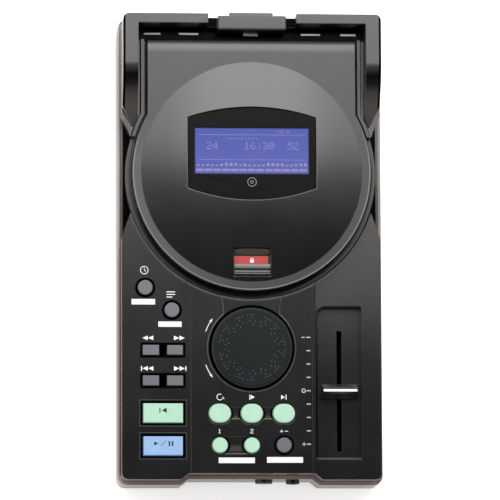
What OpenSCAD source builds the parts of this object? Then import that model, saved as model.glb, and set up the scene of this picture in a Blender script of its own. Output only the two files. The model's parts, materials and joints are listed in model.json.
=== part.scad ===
// Tabletop disc player for mixing music: top-loading lid, jog wheel, tempo fader and lit keys.
// Millimetres. +Z is up, -Y is the front edge that faces the player, +X is to the right.
// The origin lies on the table, under the middle of the whole object.

/* [Body] */
// Width of the top cover
body_w = 150; // [148:1:180]
// Length of the top cover, front edge of the pods to the rear wall
body_l = 269; // [266:1:323]
// Height of the flat deck above the table
deck_z = 40; // [39:0.5:48]
// Height of the seam between the bottom case and the top cover
seam_z = 24; // [23:0.5:25]
// How far the bottom case stands out past the top cover
case_flare = 2; // [0.5:0.1:2.4]
// Thickness of the moulded walls
wall = 2.2; // [1.8:0.1:2.6]
// Corner radius at the front
front_r = 3.5; // [2:0.5:6]
// Corner radius at the rear
rear_r = 4.5; // [3:0.5:6]
// Width of the set-back middle of the front edge
nose_w = 73; // [72:1:80]
// Depth of that set-back
nose_step = 3.5; // [2:0.5:4.5]
// Length of its slanted ends along the front edge
nose_run = 4.5; // [3:0.5:6]
// Clear height of the bottom case above the table
foot_gap = 2.5; // [2:0.5:4]
// Radius of the rubber feet
foot_r = 7; // [5:0.5:9]

/* [Grip rails] */
// Width of the side bars
rail_w = 9; // [7:0.5:9.5]
// Depth of the rear bars
rail_d = 5.8; // [4.5:0.1:6.5]
// Height of the rails above the deck
rail_h = 18; // [12:1:22]
// Length of the level stretch, from the rear wall forwards
rail_flat = 34; // [28:1:40]
// Length of the slope in front of it
rail_slope = 30; // [24:1:34]
// Gap in the rear bars, across the middle
rail_gap = 51; // [46:1:56]
// Width of the bridge in that gap
bridge_w = 39.6; // [30:0.2:42]
// Depth of the bridge
bridge_d = 8.1; // [6:0.1:8.4]
// How far the tab behind the bridge reaches past the rear wall
tab_out = 2.2; // [1.4:0.1:4]

/* [Lid] */
// Diameter of the disc that it plays
disc_d = 120; // [118:1:121]
// Radius of the lid's round lower lip
lid_r = 69.7; // [69:0.1:70.2]
// Radius of the dome
dome_r = 64.1; // [60:0.1:66]
// Rise of the dome
dome_h = 3.2; // [1:0.1:5]
// Width of the lid's straight rear part
lid_back_w = 122; // [116:0.2:123]
// Step from the lip in to the lid's upper shell
lid_step = 0.7; // [0.4:0.1:2]
// Height of the lid's flat flange above the deck
lid_h = 8.8; // [7:0.1:11]
// Depth of the groove between lid and deck edge
groove_w = 3.5; // [3:0.1:4]
// Rear wall to the centre of the disc
disc_back = 91.2; // [90:0.2:94]
// Rear wall to the lid's rear edge
lid_back = 13.9; // [13:0.1:16]

/* [Display and lock] */
// Width of the display bezel
window_w = 74.2; // [70:0.2:80]
// Disc centre to the rearmost point of the bezel
window_rear = 37.5; // [34:0.1:40]
// Disc centre to the foremost point of the bezel
window_front = 16.7; // [14:0.1:20]
// Bow of the bezel's rear edge
rear_bow = 6; // [3:0.5:8]
// Bow of the bezel's front edge
front_bow = 7; // [3:0.5:8]
// Disc centre to the middle of the display
lcd_rear = 12; // [10:0.5:13]
// Width of the lit display
lcd_w = 66.1; // [50:0.1:70]
// Depth of the lit display
lcd_d = 26.7; // [20:0.1:30]
// Width of the lock slider's recess
lock_w = 21.5; // [16:0.5:26]
// Length of the recess
lock_l = 16.8; // [14:0.2:20]
// Travel of the lock slider
lock_travel = 4.6; // [3:0.1:5.5]

/* [Middle panel] */
// Width of the middle panel
panel_w = 70.6; // [68:0.2:72]
// Radius of the jog wheel
jog_r = 23.4; // [18:0.1:24]
// Front edge to the middle of the jog wheel
jog_front = 76; // [72:1:78]
// Spacing of the loop keys
loop_pitch = 18.5; // [17.5:0.1:19.5]
// Front edge to the loop keys
loop_front = 38.3; // [38:0.1:40]
// Front edge to the hot cue keys
hot_front = 19.8; // [17:0.1:21]

/* [Pods] */
// Front edge to the enter key
enter_front = 111; // [108:1:113]
// Front edge to the mode key
mode_front = 98; // [95:1:100]
// Front edge to the search keys
search_front = 74.7; // [72:0.1:77]
// Front edge to the skip keys
skip_front = 57; // [54:0.1:59]
// Front edge to the cue key
cue_front = 38.3; // [36:0.1:39]
// Front edge to the play key
play_front = 19.3; // [17:0.1:21]
// Front edge to the middle of the fader
fader_front = 51.4; // [50:0.1:56]
// Radius of the round keys
round_r = 4.35; // [3.5:0.05:5]
// Width of the search and skip keys
small_w = 9.3; // [7:0.1:10]
// Depth of the search and skip keys
small_d = 5.8; // [4.5:0.1:7]
// Width of the cue and play keys
big_w = 22.6; // [16:0.2:24]
// Depth of the cue and play keys
big_d = 10.8; // [8:0.1:12]
// Travel of every key
key_travel = 0.8; // [0.4:0.1:1]
// Clearance round every key
key_gap = 0.35; // [0.2:0.05:0.5]
// Travel of the tempo fader, end to end
fader_travel = 60; // [50:1:60]
// Width of the fader cap
fader_cap_w = 20.3; // [14:0.1:22]

/* [Mechanism] */
// Travel of the pickup along the disc radius
sled_travel = 33; // [28:1:33]
// Radius of the play position at rest
sled_start = 24; // [24:1:25]
// Running clearance of shafts in their bores
run_gap = 0.05; // [0.03:0.01:0.08]

/* [Hidden] */
$fn = 72;
e = 0.01;
skin = 1.6;
tab_z = 8;
half_w = body_w / 2;
half_l = (body_l + case_flare + tab_out) / 2;
front_y = case_flare - half_l;
rear_y = front_y + body_l;
case_z0 = foot_gap;
case_floor = case_z0 + wall;
under_z = deck_z - wall;
lid_cy = rear_y - disc_back;
lid_rear = rear_y - lid_back;
pivot_y = lid_rear - 4.6;
pivot_z = deck_z + 3;
lid_z0 = deck_z - 1.5;
lip_z = deck_z + 5.2;
flange_z = deck_z + lid_h;
dome_z = flange_z + dome_h;
groove_r = lid_r + groove_w;
collar_gap = 0.9;
collar_w = 2;
jog_y = front_y + jog_front;
panel_seam = 0.2;
flare_w = 2.7;
flare_y = front_y + 100;
flare_top = front_y + 114;
pod_in = panel_w / 2;
enter_x = -pod_in - 26.2;
mode_x = -pod_in - 10.8;
small_x = [-pod_in - 23, -pod_in - 9.1];
big_x = -pod_in - 16;
fader_x = pod_in + 15.7;
fader_y = front_y + fader_front;
fader_floor = deck_z - 5;
board_z = deck_z - 14;
board_t = 1.6;
switch_h = 4;
switch_z = board_z + board_t + switch_h;
key_foot_z = switch_z + key_travel + 0.2;
key_top = deck_z + 1.6;
disc_z = deck_z - 5.4;
well_r = disc_d / 2 + 2;
well_floor = deck_z - 9;
well_t = 2;
chassis_z = 15.2;
chassis_t = 1.6;
rod_x = 14;
rod_r = 1.5;
rod_z = 20;
lens_y = lid_cy - sled_start;
lens_top = well_floor - well_t - 0.6;
gear_m = 0.8;
pinion_n = 12;
wheel_n = 28;
motor_n = 7;
mesh_gap = 0.12;
rack_x = 19.4;
gear_x = rack_x + gear_m * pinion_n / 2 + mesh_gap;
gear_y = lens_y - 24.9;
motor_turn = 60;
motor_reach = gear_m * (wheel_n + motor_n) / 2 + mesh_gap;
motor_x = gear_x + motor_reach * cos(motor_turn);
motor_y = gear_y + motor_reach * sin(motor_turn);
wheel_z = 12.4;
wheel_t = 2.2;
rear_in = rear_y - wall;
jack_z = 24;
back_x = 66;
phones_z = 16.5;
knob_x = 8.3;
phones_x = 25.1;
face_y = front_y + nose_step - case_flare;
face_in = face_y + wall;
scallop_x = groove_r - 3.9;
scallop_front = [21.3, 37.5];
scallop_rear = [19.3, 34.4];
sill_r = lid_r + 0.3;
ring_end = 34;
slot_half = fader_travel / 2 + 5.1;
lcd_y = lid_cy + lcd_rear;
bezel_z = flange_z + 0.3 * dome_h;
lock_y = lid_cy - 52.7;
slider_y0 = lock_y - lock_l / 2 + 1.2;
slider_l = 6;
lock_floor = flange_z - 2;
back_post = [[-57, lid_rear - 6.5], [57, lid_rear - 6.5]];
post_x = [-26, 41];
post_y = [lid_cy - 63, lid_cy + 20];
screw_at = [
    [-half_w + 6.5, front_y + 9], [half_w - 6.5, front_y + 9],
    [-half_w + 6.5, lid_cy - 56], [half_w - 6.5, lid_cy - 56],
    [-half_w + 6.5, rear_y - 22], [half_w - 6.5, rear_y - 22]
];
board_post = [
    [-half_w + 6, front_y + 28], [-half_w + 6, front_y + 86],
    [-pod_in - 4.5, front_y + 28.5], [-pod_in - 3.8, front_y + 86]
];
board_prop = [[28, front_y + 26], [28, front_y + 90]];
foot_at = [
    [-half_w + 20, front_y + 16], [half_w - 20, front_y + 16],
    [-half_w + 20, rear_y - 14], [half_w - 20, rear_y - 14]
];
// Each key: [x, y, shape]. Shapes: 0 round, 1 small, 2 big, 3 oval.
key_at = [
    [enter_x, front_y + enter_front, 0],
    [mode_x, front_y + mode_front, 0],
    [small_x[0], front_y + search_front, 1],
    [small_x[1], front_y + search_front, 1],
    [small_x[0], front_y + skip_front, 1],
    [small_x[1], front_y + skip_front, 1],
    [big_x, front_y + cue_front, 2],
    [big_x, front_y + play_front, 2],
    [-loop_pitch, front_y + loop_front, 3],
    [0, front_y + loop_front, 3],
    [loop_pitch, front_y + loop_front, 3],
    [-loop_pitch, front_y + hot_front, 0],
    [0, front_y + hot_front, 0],
    [loop_pitch, front_y + hot_front, 0]
];

// ---------- shared outlines and helpers ----------

module bar(x0, x1, y0, y1, z0, z1) {
    translate([x0, y0, z0])
        cube([x1 - x0, y1 - y0, z1 - z0]);
}

module rod(x, y, r, z0, z1) {
    translate([x, y, z0])
        cylinder(r = r, h = z1 - z0);
}

module slab(z0, z1) {
    translate([0, 0, z0])
        linear_extrude(z1 - z0)
            children();
}

module along_x(x0, x1, y, z, r) {
    translate([x0, y, z])
        rotate([0, 90, 0])
            cylinder(r = r, h = x1 - x0);
}

module along_y(x, y0, y1, z, r) {
    translate([x, y1, z])
        rotate([90, 0, 0])
            cylinder(r = r, h = y1 - y0);
}

// Rectangle with one radius on its front corners and one on its rear corners
module round_rect(x0, x1, y0, y1, rf, rb) {
    translate([x0, y0 + rf])
        square([x1 - x0, y1 - y0 - rf - rb]);
    translate([x0 + rf, y0])
        square([x1 - x0 - 2 * rf, rf + e]);
    translate([x0 + rb, y1 - rb - e])
        square([x1 - x0 - 2 * rb, rb + e]);
    for (x = [x0 + rf, x1 - rf])
        translate([x, y0 + rf])
            circle(rf);
    for (x = [x0 + rb, x1 - rb])
        translate([x, y1 - rb])
            circle(rb);
}

// Plan of the body, grown by g: two pods in front with the set-back middle between them
module plan(g = 0) {
    mitre = g * tan(atan2(nose_step, nose_run) / 2);
    a = nose_w / 2 - mitre;
    b = a + nose_run;
    y = front_y - g;
    difference() {
        round_rect(-half_w - g, half_w + g, y, rear_y + g, max(0.5, front_r + g), max(0.5, rear_r + g));
        polygon([[-b, y], [-b, y - 1], [b, y - 1], [b, y], [a, y + nose_step], [-a, y + nose_step]]);
    }
}

// Plan of the lid, grown by g: a circle with a straight rear part
module lid_plan(g = 0) {
    translate([0, lid_cy])
        circle(lid_r + g, $fn = 144);
    translate([-lid_back_w / 2 - g, lid_cy])
        square([lid_back_w + 2 * g, lid_rear - lid_cy + min(g, collar_gap)]);
}

// Plan of the middle panel, grown by g, up to the groove round the lid
module panel_plan(g = 0) {
    w = panel_w / 2 + g;
    difference() {
        intersection() {
            plan();
            polygon([
                [-w, front_y - 1], [w, front_y - 1], [w, flare_y], [w + flare_w, flare_top + 6],
                [-w - flare_w, flare_top + 6], [-w, flare_y]
            ]);
        }
        translate([0, lid_cy])
            circle(groove_r, $fn = 144);
    }
}

// Finger scallop in the side wall, on the side of s: a notch with slanted ends, grown by g along Y
// and reaching out to x_end
module scallop_plan(s, g, x_end) {
    reach = (x_end - scallop_x) / (half_w - scallop_x);
    y0 = lid_cy - g - scallop_front[0];
    y1 = lid_cy + g + scallop_rear[0];
    polygon([
        [s * scallop_x, y0], [s * x_end, y0 - reach * (scallop_front[1] - scallop_front[0])],
        [s * x_end, y1 + reach * (scallop_rear[1] - scallop_rear[0])], [s * scallop_x, y1]
    ]);
}

module key_plan(shape, g = 0) {
    if (shape == 0)
        circle(round_r + g);
    if (shape == 1)
        square([small_w + 2 * g, small_d + 2 * g], center = true);
    if (shape == 2)
        square([big_w + 2 * g, big_d + 2 * g], center = true);
    if (shape == 3) {
        for (x = [-0.9, 0.9])
            translate([x, 0])
                circle(5.35 + g);
        square([1.8, 10.7 + 2 * g], center = true);
    }
}

module key_holes(first, last) {
    for (i = [first : last])
        translate([key_at[i][0], key_at[i][1]])
            key_plan(key_at[i][2], key_gap);
}

// Gear outline with n teeth, one of them on the +X axis, cut back for backlash
module gear_plan(n) {
    rp = gear_m * n / 2;
    pitch = 360 / n;
    circle(rp - gear_m * 1.05);
    for (i = [0 : n - 1])
        rotate(i * pitch)
            polygon([
                [rp - gear_m * 1.2, -gear_m * 0.85], [rp - gear_m * 1.2, gear_m * 0.85],
                [rp, gear_m * 0.6], [rp + gear_m * 0.7, gear_m * 0.25],
                [rp + gear_m * 0.7, -gear_m * 0.25], [rp, -gear_m * 0.6]
            ]);
}

// ---------- casings ----------

module bottom_case() {
    color("dimgray")
    difference() {
        union() {
            difference() {
                slab(case_z0, seam_z)
                    plan(case_flare);
                slab(case_floor, seam_z - 1.8)
                    plan(case_flare - wall);
                // rim that the cover stands on
                slab(seam_z - 2, seam_z + 1)
                    plan(-1.6);
            }
            for (p = screw_at)
                rod(p[0], p[1], 4, case_floor - e, seam_z);
            for (x = post_x, y = post_y) {
                rod(x, y, 3, case_floor - e, 13);
                rod(x, y, 1.4, 13 - e, 19.4);
            }
            for (x = [-52, 52], y = [-14, 104])
                rod(x, y, 3, case_floor - e, 9);
            bar(knob_x - 5, phones_x + 5, face_in + 4, face_in + 10, case_floor - e, phones_z - 7);
            for (p = board_prop)
                rod(p[0], p[1], 3, case_floor - e, board_z);
            for (p = back_post)
                rod(p[0], p[1], 2.5, case_floor - e, deck_z - 6);
        }
        for (p = screw_at) {
            rod(p[0], p[1], 1.6, case_z0 - 1, seam_z + 1);
            rod(p[0], p[1], 3.1, case_z0 - 1, case_z0 + 5);
        }
        for (p = foot_at)
            rod(p[0], p[1], foot_r + 0.1, case_z0 - 1, case_z0 + 0.8);
        bar(-back_x - 0.1, back_x + 0.1, rear_in - 1, rear_y + case_flare + 1, 12, seam_z + 1);
        along_y(knob_x, face_y - 1, face_y + wall + 1, phones_z, 5.6);
        along_y(phones_x, face_y - 1, face_y + wall + 1, phones_z, 4.05);
        bar(-27.4, -5.3, face_y - 1, face_y + 0.9, seam_z - 2.2, seam_z - 1);
    }
}

// Ring round the lid opening, open towards the rear, from r0 to r1
module opening_ring(r0, r1) {
    difference() {
        translate([0, lid_cy])
            circle(r1, $fn = 144);
        translate([0, lid_cy])
            circle(r0, $fn = 144);
        translate([-half_w - 1, lid_cy + ring_end])
            square([body_w + 2, half_w]);
    }
}

module top_cover() {
    color([0.06, 0.06, 0.07])
    difference() {
        union() {
            difference() {
                slab(seam_z, deck_z)
                    plan();
                slab(seam_z - 1, under_z)
                    plan(-wall);
            }
            // wall and sill round the lid opening
            slab(seam_z, under_z + e)
                intersection() {
                    plan(-0.5);
                    opening_ring(groove_r, groove_r + skin);
                }
            slab(seam_z, seam_z + skin)
                intersection() {
                    plan(-0.5);
                    opening_ring(sill_r, groove_r + e);
                }
            // floor and end walls of the finger scallops
            for (s = [-1, 1])
                slab(seam_z, under_z + e)
                    scallop_plan(s, 3 * skin, half_w - 0.5);
            // ledges under the sides of the middle panel
            for (s = [-1, 1])
                translate([s * pod_in, 0, 0])
                    bar(-2, 2, front_y + nose_step + 1, flare_y, under_z - skin, under_z + e);
            slab(fader_floor - skin, under_z + e)
                fader_tray(skin);
            // posts that carry the key board, and bosses for the case screws
            for (p = board_post)
                rod(p[0], p[1], 2.4, board_z + board_t, under_z + e);
            for (p = screw_at)
                rod(p[0], p[1], 3.4, seam_z, under_z + e);
        }
        // opening for the lid and the disc well
        slab(seam_z + skin, deck_z + 1)
            lid_plan(groove_w);
        // seat of the middle panel
        slab(under_z, deck_z + 1)
            panel_plan(panel_seam);
        for (s = [-1, 1])
            slab(seam_z + skin, deck_z + 1)
                scallop_plan(s, 0, half_w + 2);
        slab(under_z - 1, deck_z + 1)
            key_holes(0, 7);
        // shallow recesses round the key pairs and the big keys
        for (i = [2, 4])
            bar(key_at[i][0] - small_w / 2 - 1, key_at[i + 1][0] + small_w / 2 + 1,
                key_at[i][1] - small_d / 2 - 1, key_at[i][1] + small_d / 2 + 1, deck_z - 0.8, deck_z + 1);
        for (i = [6, 7])
            bar(key_at[i][0] - big_w / 2 - 1.2, key_at[i][0] + big_w / 2 + 1.2,
                key_at[i][1] - big_d / 2 - 1.2, key_at[i][1] + big_d / 2 + 1.2, deck_z - 0.8, deck_z + 1);
        slab(fader_floor, deck_z + 1)
            fader_tray(0);
        bar(fader_x - 1.45, fader_x + 1.45, fader_y - slot_half, fader_y + slot_half,
            fader_floor - 3, fader_floor + 1);
        for (p = screw_at)
            rod(p[0], p[1], 1.3, seam_z - 1, under_z - 2);
        bar(-back_x - 0.1, back_x + 0.1, rear_in - 1, rear_y + 1, seam_z - 1, 36.6);
    }
}

// Sunk tray of the fader: square inner corners towards the side, one wide one towards the jog wheel
module fader_tray(g) {
    x0 = fader_x - 14 - g;
    x1 = fader_x + 12.7 + g;
    y0 = fader_y - 39.8 - g;
    y1 = fader_y + 49.2 + g;
    r = 6;
    difference() {
        round_rect(x0, x1, y0, y1, 1.5, 1.5);
        translate([x0 - 1, y1 - r])
            square([r + 1, r + 1]);
    }
    translate([x0 + r, y1 - r])
        circle(r);
}

module control_panel() {
    color([0.07, 0.07, 0.08])
    difference() {
        union() {
            slab(under_z, deck_z)
                panel_plan();
            // neck and ring round the jog wheel
            slab(deck_z - e, deck_z + 0.6) {
                translate([0, jog_y])
                    circle(jog_r + 2.2, $fn = 144);
                difference() {
                    polygon([
                        [-15.8, jog_y + 18], [15.8, jog_y + 18], [17.6, jog_y + 34], [-17.6, jog_y + 34]
                    ]);
                    translate([0, lid_cy])
                        circle(groove_r, $fn = 144);
                }
            }
            // cup under the jog wheel
            rod(0, jog_y, jog_r + 3, deck_z - 5.4, under_z + e);
        }
        translate([0, jog_y, deck_z - 3.8])
            cylinder(r = jog_r + 1.5, h = 10, $fn = 144);
        rod(0, jog_y, 4.2, deck_z - 7, deck_z);
        slab(under_z - 1, deck_z + 1)
            key_holes(8, 13);
        // shallow recesses that join the loop keys and the hot cue keys
        slab(deck_z - 0.8, deck_z + 1) {
            for (i = [8 : 10])
                translate([key_at[i][0], key_at[i][1]])
                    key_plan(3, 1.1);
            translate([0, key_at[9][1]])
                square([2 * loop_pitch, 6.4], center = true);
            for (i = [11, 12])
                translate([key_at[i][0], key_at[i][1]])
                    circle(round_r + 1);
            translate([-loop_pitch / 2, key_at[11][1]])
                square([loop_pitch, 2 * round_r + 1.2], center = true);
        }
    }
}

// ---------- grip rails ----------

// Plan of the left rail; the right one mirrors it
module rail_plan() {
    difference() {
        union() {
            intersection() {
                round_rect(-half_w + 0.2, half_w, lid_cy + 27, rear_y, 1, 3.5);
                translate([-half_w, lid_cy])
                    square([rail_w + 0.2, body_l]);
            }
            intersection() {
                round_rect(-half_w + 0.2, half_w, lid_cy + 27, rear_y, 1, 3.5);
                translate([-half_w, rear_y - rail_d])
                    square([half_w - rail_gap / 2, rail_d]);
            }
        }
        // slanted outer edge near the tip
        polygon([
            [-half_w - 1, lid_cy + 10], [-half_w + 5.9, lid_cy + 26.9],
            [-half_w + 0.2, lid_cy + 38.6], [-half_w - 1, lid_cy + 41]
        ]);
        lid_plan(groove_w + 0.3);
    }
}

module left_rail() {
    color([0.1, 0.1, 0.11])
    difference() {
        slab(deck_z, deck_z + rail_h)
            rail_plan();
        // slope down to the tip
        translate([-half_w - 1, rear_y - rail_flat, deck_z + rail_h])
            rotate([90, 0, 90])
                linear_extrude(rail_w + 4)
                    polygon([[0, 0], [0, 5], [-rail_slope - 6, 5], [-rail_slope - 6, -rail_h * 1.15]]);
    }
}

module right_rail() {
    mirror([1, 0, 0])
        left_rail();
}

module rear_bridge() {
    color([0.1, 0.1, 0.11]) {
        bar(-bridge_w / 2, bridge_w / 2, rear_y - 1 - bridge_d, rear_y - 1, deck_z, deck_z + rail_h - 2);
        bar(-rail_gap / 2, rail_gap / 2, rear_y - 1 - rail_d, rear_y - 1, deck_z, deck_z + rail_h - 9);
        bar(-12.8, 12.8, rear_y - 1 - e, rear_y + tab_out, deck_z + tab_z - 4, deck_z + tab_z);
    }
}

module rear_panel() {
    color([0.16, 0.16, 0.17])
    difference() {
        bar(-back_x, back_x, rear_in, rear_in + 1.6, 12.1, 36.5);
        // power inlet, power slider, line sockets, digital socket, remote jack
        along_y(-57, rear_in - 1, rear_in + 3, jack_z, 4.6);
        bar(-41.5, -30.5, rear_in - 1, rear_in + 3, jack_z - 2.6, jack_z + 2.6);
        for (x = [-9, 9])
            along_y(x, rear_in - 1, rear_in + 3, jack_z, 5.3);
        along_y(35.3, rear_in - 1, rear_in + 3, jack_z, 5.3);
        along_y(57, rear_in - 1, rear_in + 3, jack_z, 3.6);
    }
}

module feet() {
    color([0.05, 0.05, 0.05])
    for (p = foot_at)
        rod(p[0], p[1], foot_r, 0, case_z0 + 0.8);
}

module case_screws() {
    color("silver")
    for (p = screw_at) {
        difference() {
            rod(p[0], p[1], 2.7, case_z0 + 2.9, case_z0 + 5);
            bar(p[0] - 1.6, p[0] + 1.6, p[1] - 0.3, p[1] + 0.3, case_z0 + 2, case_z0 + 4);
            bar(p[0] - 0.3, p[0] + 0.3, p[1] - 1.6, p[1] + 1.6, case_z0 + 2, case_z0 + 4);
        }
        rod(p[0], p[1], 1.3, case_z0 + 5 - e, under_z - 3);
    }
}

// ---------- disc well and mechanism ----------

module disc_well() {
    color([0.09, 0.09, 0.1])
    difference() {
        union() {
            // floor and wall of the tub
            rod(0, lid_cy, well_r + skin, well_floor - well_t, deck_z - 4);
            // flange under the lid
            slab(deck_z - 6, deck_z - 4)
                lid_plan(collar_gap + collar_w);
            // skirt that stands on the cover's sill and closes the finger scallops
            slab(seam_z + skin, deck_z - 4)
                opening_ring(lid_r + collar_gap + collar_w - skin, lid_r + collar_gap + collar_w);
            // collar round the lid: low at the front, high along the straight rear part
            slab(deck_z - 4 - e, deck_z - 2.4)
                difference() {
                    lid_plan(collar_gap + collar_w);
                    lid_plan(collar_gap);
                }
            slab(deck_z - 2.4 - e, deck_z + 3.6)
                difference() {
                    lid_plan(collar_gap + collar_w);
                    lid_plan(collar_gap);
                    translate([-half_w, lid_cy - 90])
                        square([body_w, 90 + 21]);
                }
            // hinge ears
            for (s = [-1, 1])
                translate([s * 52 - 2, 0, 0]) {
                    along_x(0, 4, pivot_y, pivot_z, 2.5);
                    bar(0, 4, pivot_y - 2.5, pivot_y + 2.5, deck_z - 4 - e, pivot_z);
                }
        }
        translate([0, lid_cy, well_floor])
            cylinder(r = well_r, h = 30, $fn = 144);
        rod(0, lid_cy, 10.5, well_floor - 5, well_floor + 1);
        bar(-11, 11, lid_cy - well_r, lid_cy - 15, well_floor - 5, well_floor + 1);
        for (s = [-1, 1])
            along_x(s * 52 - 3, s * 52 + 3, pivot_y, pivot_z, 1.2);
    }
}

module hinge_pins() {
    color("silver")
    for (s = [-1, 1])
        along_x(min(s * 44, s * 54), max(s * 44, s * 54), pivot_y, pivot_z, 1.2);
}

module mech_chassis() {
    color("lightgray")
    difference() {
        union() {
            bar(-31, 46, lid_cy - 73, lid_cy + 25, chassis_z, chassis_z + chassis_t);
            for (x = [-rod_x, rod_x]) {
                bar(x - 2.6, x + 2.6, lens_y - sled_travel - 14.5, lens_y - sled_travel - 11.5,
                    chassis_z + chassis_t - e, rod_z + 3);
                bar(x - 2.6, x + 2.6, lens_y + 9, lens_y + 11.5, chassis_z + chassis_t - e, rod_z + 3);
            }
        }
        for (x = [-rod_x, rod_x])
            along_y(x, lens_y - sled_travel - 16, lens_y + 13, rod_z, rod_r);
        for (x = post_x, y = post_y)
            rod(x, y, 2.6 + run_gap, chassis_z - 1, chassis_z + 3);
        rod(gear_x, gear_y, 2.8 + run_gap, chassis_z - 1, chassis_z + 3);
        rod(motor_x, motor_y, 1 + run_gap, chassis_z - 1, chassis_z + 3);
        rod(0, lid_cy, 1 + run_gap, chassis_z - 1, chassis_z + 3);
        bar(-9, 9, lens_y - sled_travel - 6, lens_y + 4, chassis_z - 1, chassis_z + 3);
    }
}

module chassis_dampers() {
    color([0.15, 0.15, 0.16])
    for (x = post_x, y = post_y)
        translate([x, y, 0])
            difference() {
                union() {
                    rod(0, 0, 4, 13, chassis_z);
                    rod(0, 0, 2.6, chassis_z - e, chassis_z + chassis_t + e);
                    rod(0, 0, 4, chassis_z + chassis_t, 18.6);
                }
                rod(0, 0, 1.4, 12, 20);
            }
}

module spindle_motor() {
    color("gray")
    difference() {
        rod(0, lid_cy, 10, chassis_z + chassis_t, 26);
        rod(0, lid_cy, 1 + run_gap, chassis_z, 27);
    }
}

module spindle_hub() {
    color([0.2, 0.2, 0.22])
    difference() {
        union() {
            rod(0, lid_cy, 1, chassis_z - 1.5, 27);
            rod(0, lid_cy, 8.6, 26.4, disc_z - 1.6 + e);
            // table for the disc, with a relief groove round the boss
            rod(0, lid_cy, 13, disc_z - 1.6, disc_z - 0.4);
            difference() {
                rod(0, lid_cy, 13, disc_z - 0.4 - e, disc_z);
                rod(0, lid_cy, 8, disc_z - 1, disc_z + 1);
            }
            rod(0, lid_cy, 7.4, disc_z - 0.4 - e, disc_z + 2.2);
            translate([0, lid_cy, disc_z + 2.2])
                rotate_extrude()
                    polygon([[0, 0], [7.4, 0], [6.2, 1.1], [0, 1.1]]);
        }
        for (a = [90, 210, 330])
            translate([0, lid_cy, disc_z + 1.3])
                rotate(a)
                    translate([5.4, 0, 0])
                        rotate([0, 90, 0])
                            cylinder(r = 1.15, h = 4);
    }
}

module hub_balls() {
    color("silver")
    for (a = [90, 210, 330])
        translate([0, lid_cy, disc_z + 1.3])
            rotate(a)
                translate([6.7, 0, 0])
                    sphere(1.1);
}

module pickup_sled() {
    color([0.12, 0.12, 0.13])
    difference() {
        union() {
            bar(-17, 17, lens_y - 9.5, lens_y + 8.5, 17.8, 25);
            // rack
            bar(17 - e, 18.3, gear_y - 3.6, gear_y + sled_travel + 3.6, 17.8, 20.6);
            rack_teeth();
        }
        for (x = [-rod_x, rod_x])
            along_y(x, lens_y - 12, lens_y + 10, rod_z, rod_r + run_gap);
        bar(-9, 9, lens_y - 9, lens_y + 6, 17, 19);
    }
}

// Rack teeth with a space in line with the drive gear at rest
module rack_teeth() {
    pitch = PI * gear_m;
    count = floor(sled_travel / pitch) + 2;
    for (i = [0 : count])
        translate([rack_x, gear_y - pitch / 2 + i * pitch, 17.8])
            linear_extrude(2.8)
                polygon([
                    [-gear_m * 1.45, -gear_m * 0.85], [0, -gear_m * 0.6], [gear_m * 0.7, -gear_m * 0.3],
                    [gear_m * 0.7, gear_m * 0.3], [0, gear_m * 0.6], [-gear_m * 1.45, gear_m * 0.85]
                ]);
}

module lens_holder() {
    color([0.1, 0.1, 0.1])
    difference() {
        bar(-7.5, 7.5, lens_y - 7.5, lens_y + 7.5, 25, lens_top);
        rod(0, lens_y, 4.3, 25.8, lens_top + 1);
    }
}

// Objective lens in its ring, free to move up and down in the holder
module pickup_lens() {
    color("lightblue")
    difference() {
        union() {
            rod(0, lens_y, 4, 26.4, well_floor - 1.2);
            rod(0, lens_y, 3.2, well_floor - 1.2 - e, well_floor - 0.8);
            translate([0, lens_y, well_floor - 0.8 - e])
                rotate_extrude()
                    polygon(concat([[0, 0]], [for (i = [0 : 8]) [2.6 * cos(i * 11.25), sin(i * 11.25)]]));
        }
        rod(0, lens_y, 1.2, 26, 28);
    }
}

module guide_rods() {
    color("silver")
    for (x = [-rod_x, rod_x])
        along_y(x, lens_y - sled_travel - 15, lens_y + 12, rod_z, rod_r);
}

module drive_gear() {
    color("white")
    union() {
        translate([gear_x, gear_y, chassis_z + chassis_t + 0.4])
            linear_extrude(3.4)
                gear_plan(pinion_n);
        rod(gear_x, gear_y, 2.8, wheel_z, chassis_z + chassis_t + 1);
        translate([gear_x, gear_y, wheel_z])
            linear_extrude(wheel_t)
                rotate(motor_turn)
                    gear_plan(wheel_n);
    }
}

module motor_pinion() {
    color("gold")
    union() {
        rod(motor_x, motor_y, 1, wheel_z - e, 20);
        translate([motor_x, motor_y, wheel_z])
            linear_extrude(wheel_t)
                rotate(motor_turn + 180 + 180 / motor_n)
                    gear_plan(motor_n);
    }
}

module sled_motor() {
    color("silver")
    difference() {
        rod(motor_x, motor_y, 6, chassis_z + chassis_t, 26);
        rod(motor_x, motor_y, 1 + run_gap, chassis_z, 20.4);
    }
}

// ---------- boards ----------

module main_board() {
    color("darkgreen")
    difference() {
        bar(-58, 58, -20, 110, 9, 10.6);
        for (x = post_x, y = post_y)
            rod(x, y, 3.3, 8, 12);
    }
}

module key_board() {
    color("darkgreen") {
        bar(-half_w + 3, 33, front_y + 14, lid_cy - groove_r - 2.5, board_z, board_z + board_t);
        bar(-half_w + 3, -half_w + 25, front_y + 14, front_y + 117, board_z, board_z + board_t);
    }
}

module key_switches() {
    color([0.2, 0.2, 0.2])
    for (k = key_at) {
        bar(k[0] - 3, k[0] + 3, k[1] - 3, k[1] + 3, board_z + board_t, switch_z - 0.8);
        rod(k[0], k[1], 1.6, switch_z - 0.8 - e, switch_z);
    }
}

// ---------- rear and front connectors ----------

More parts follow.
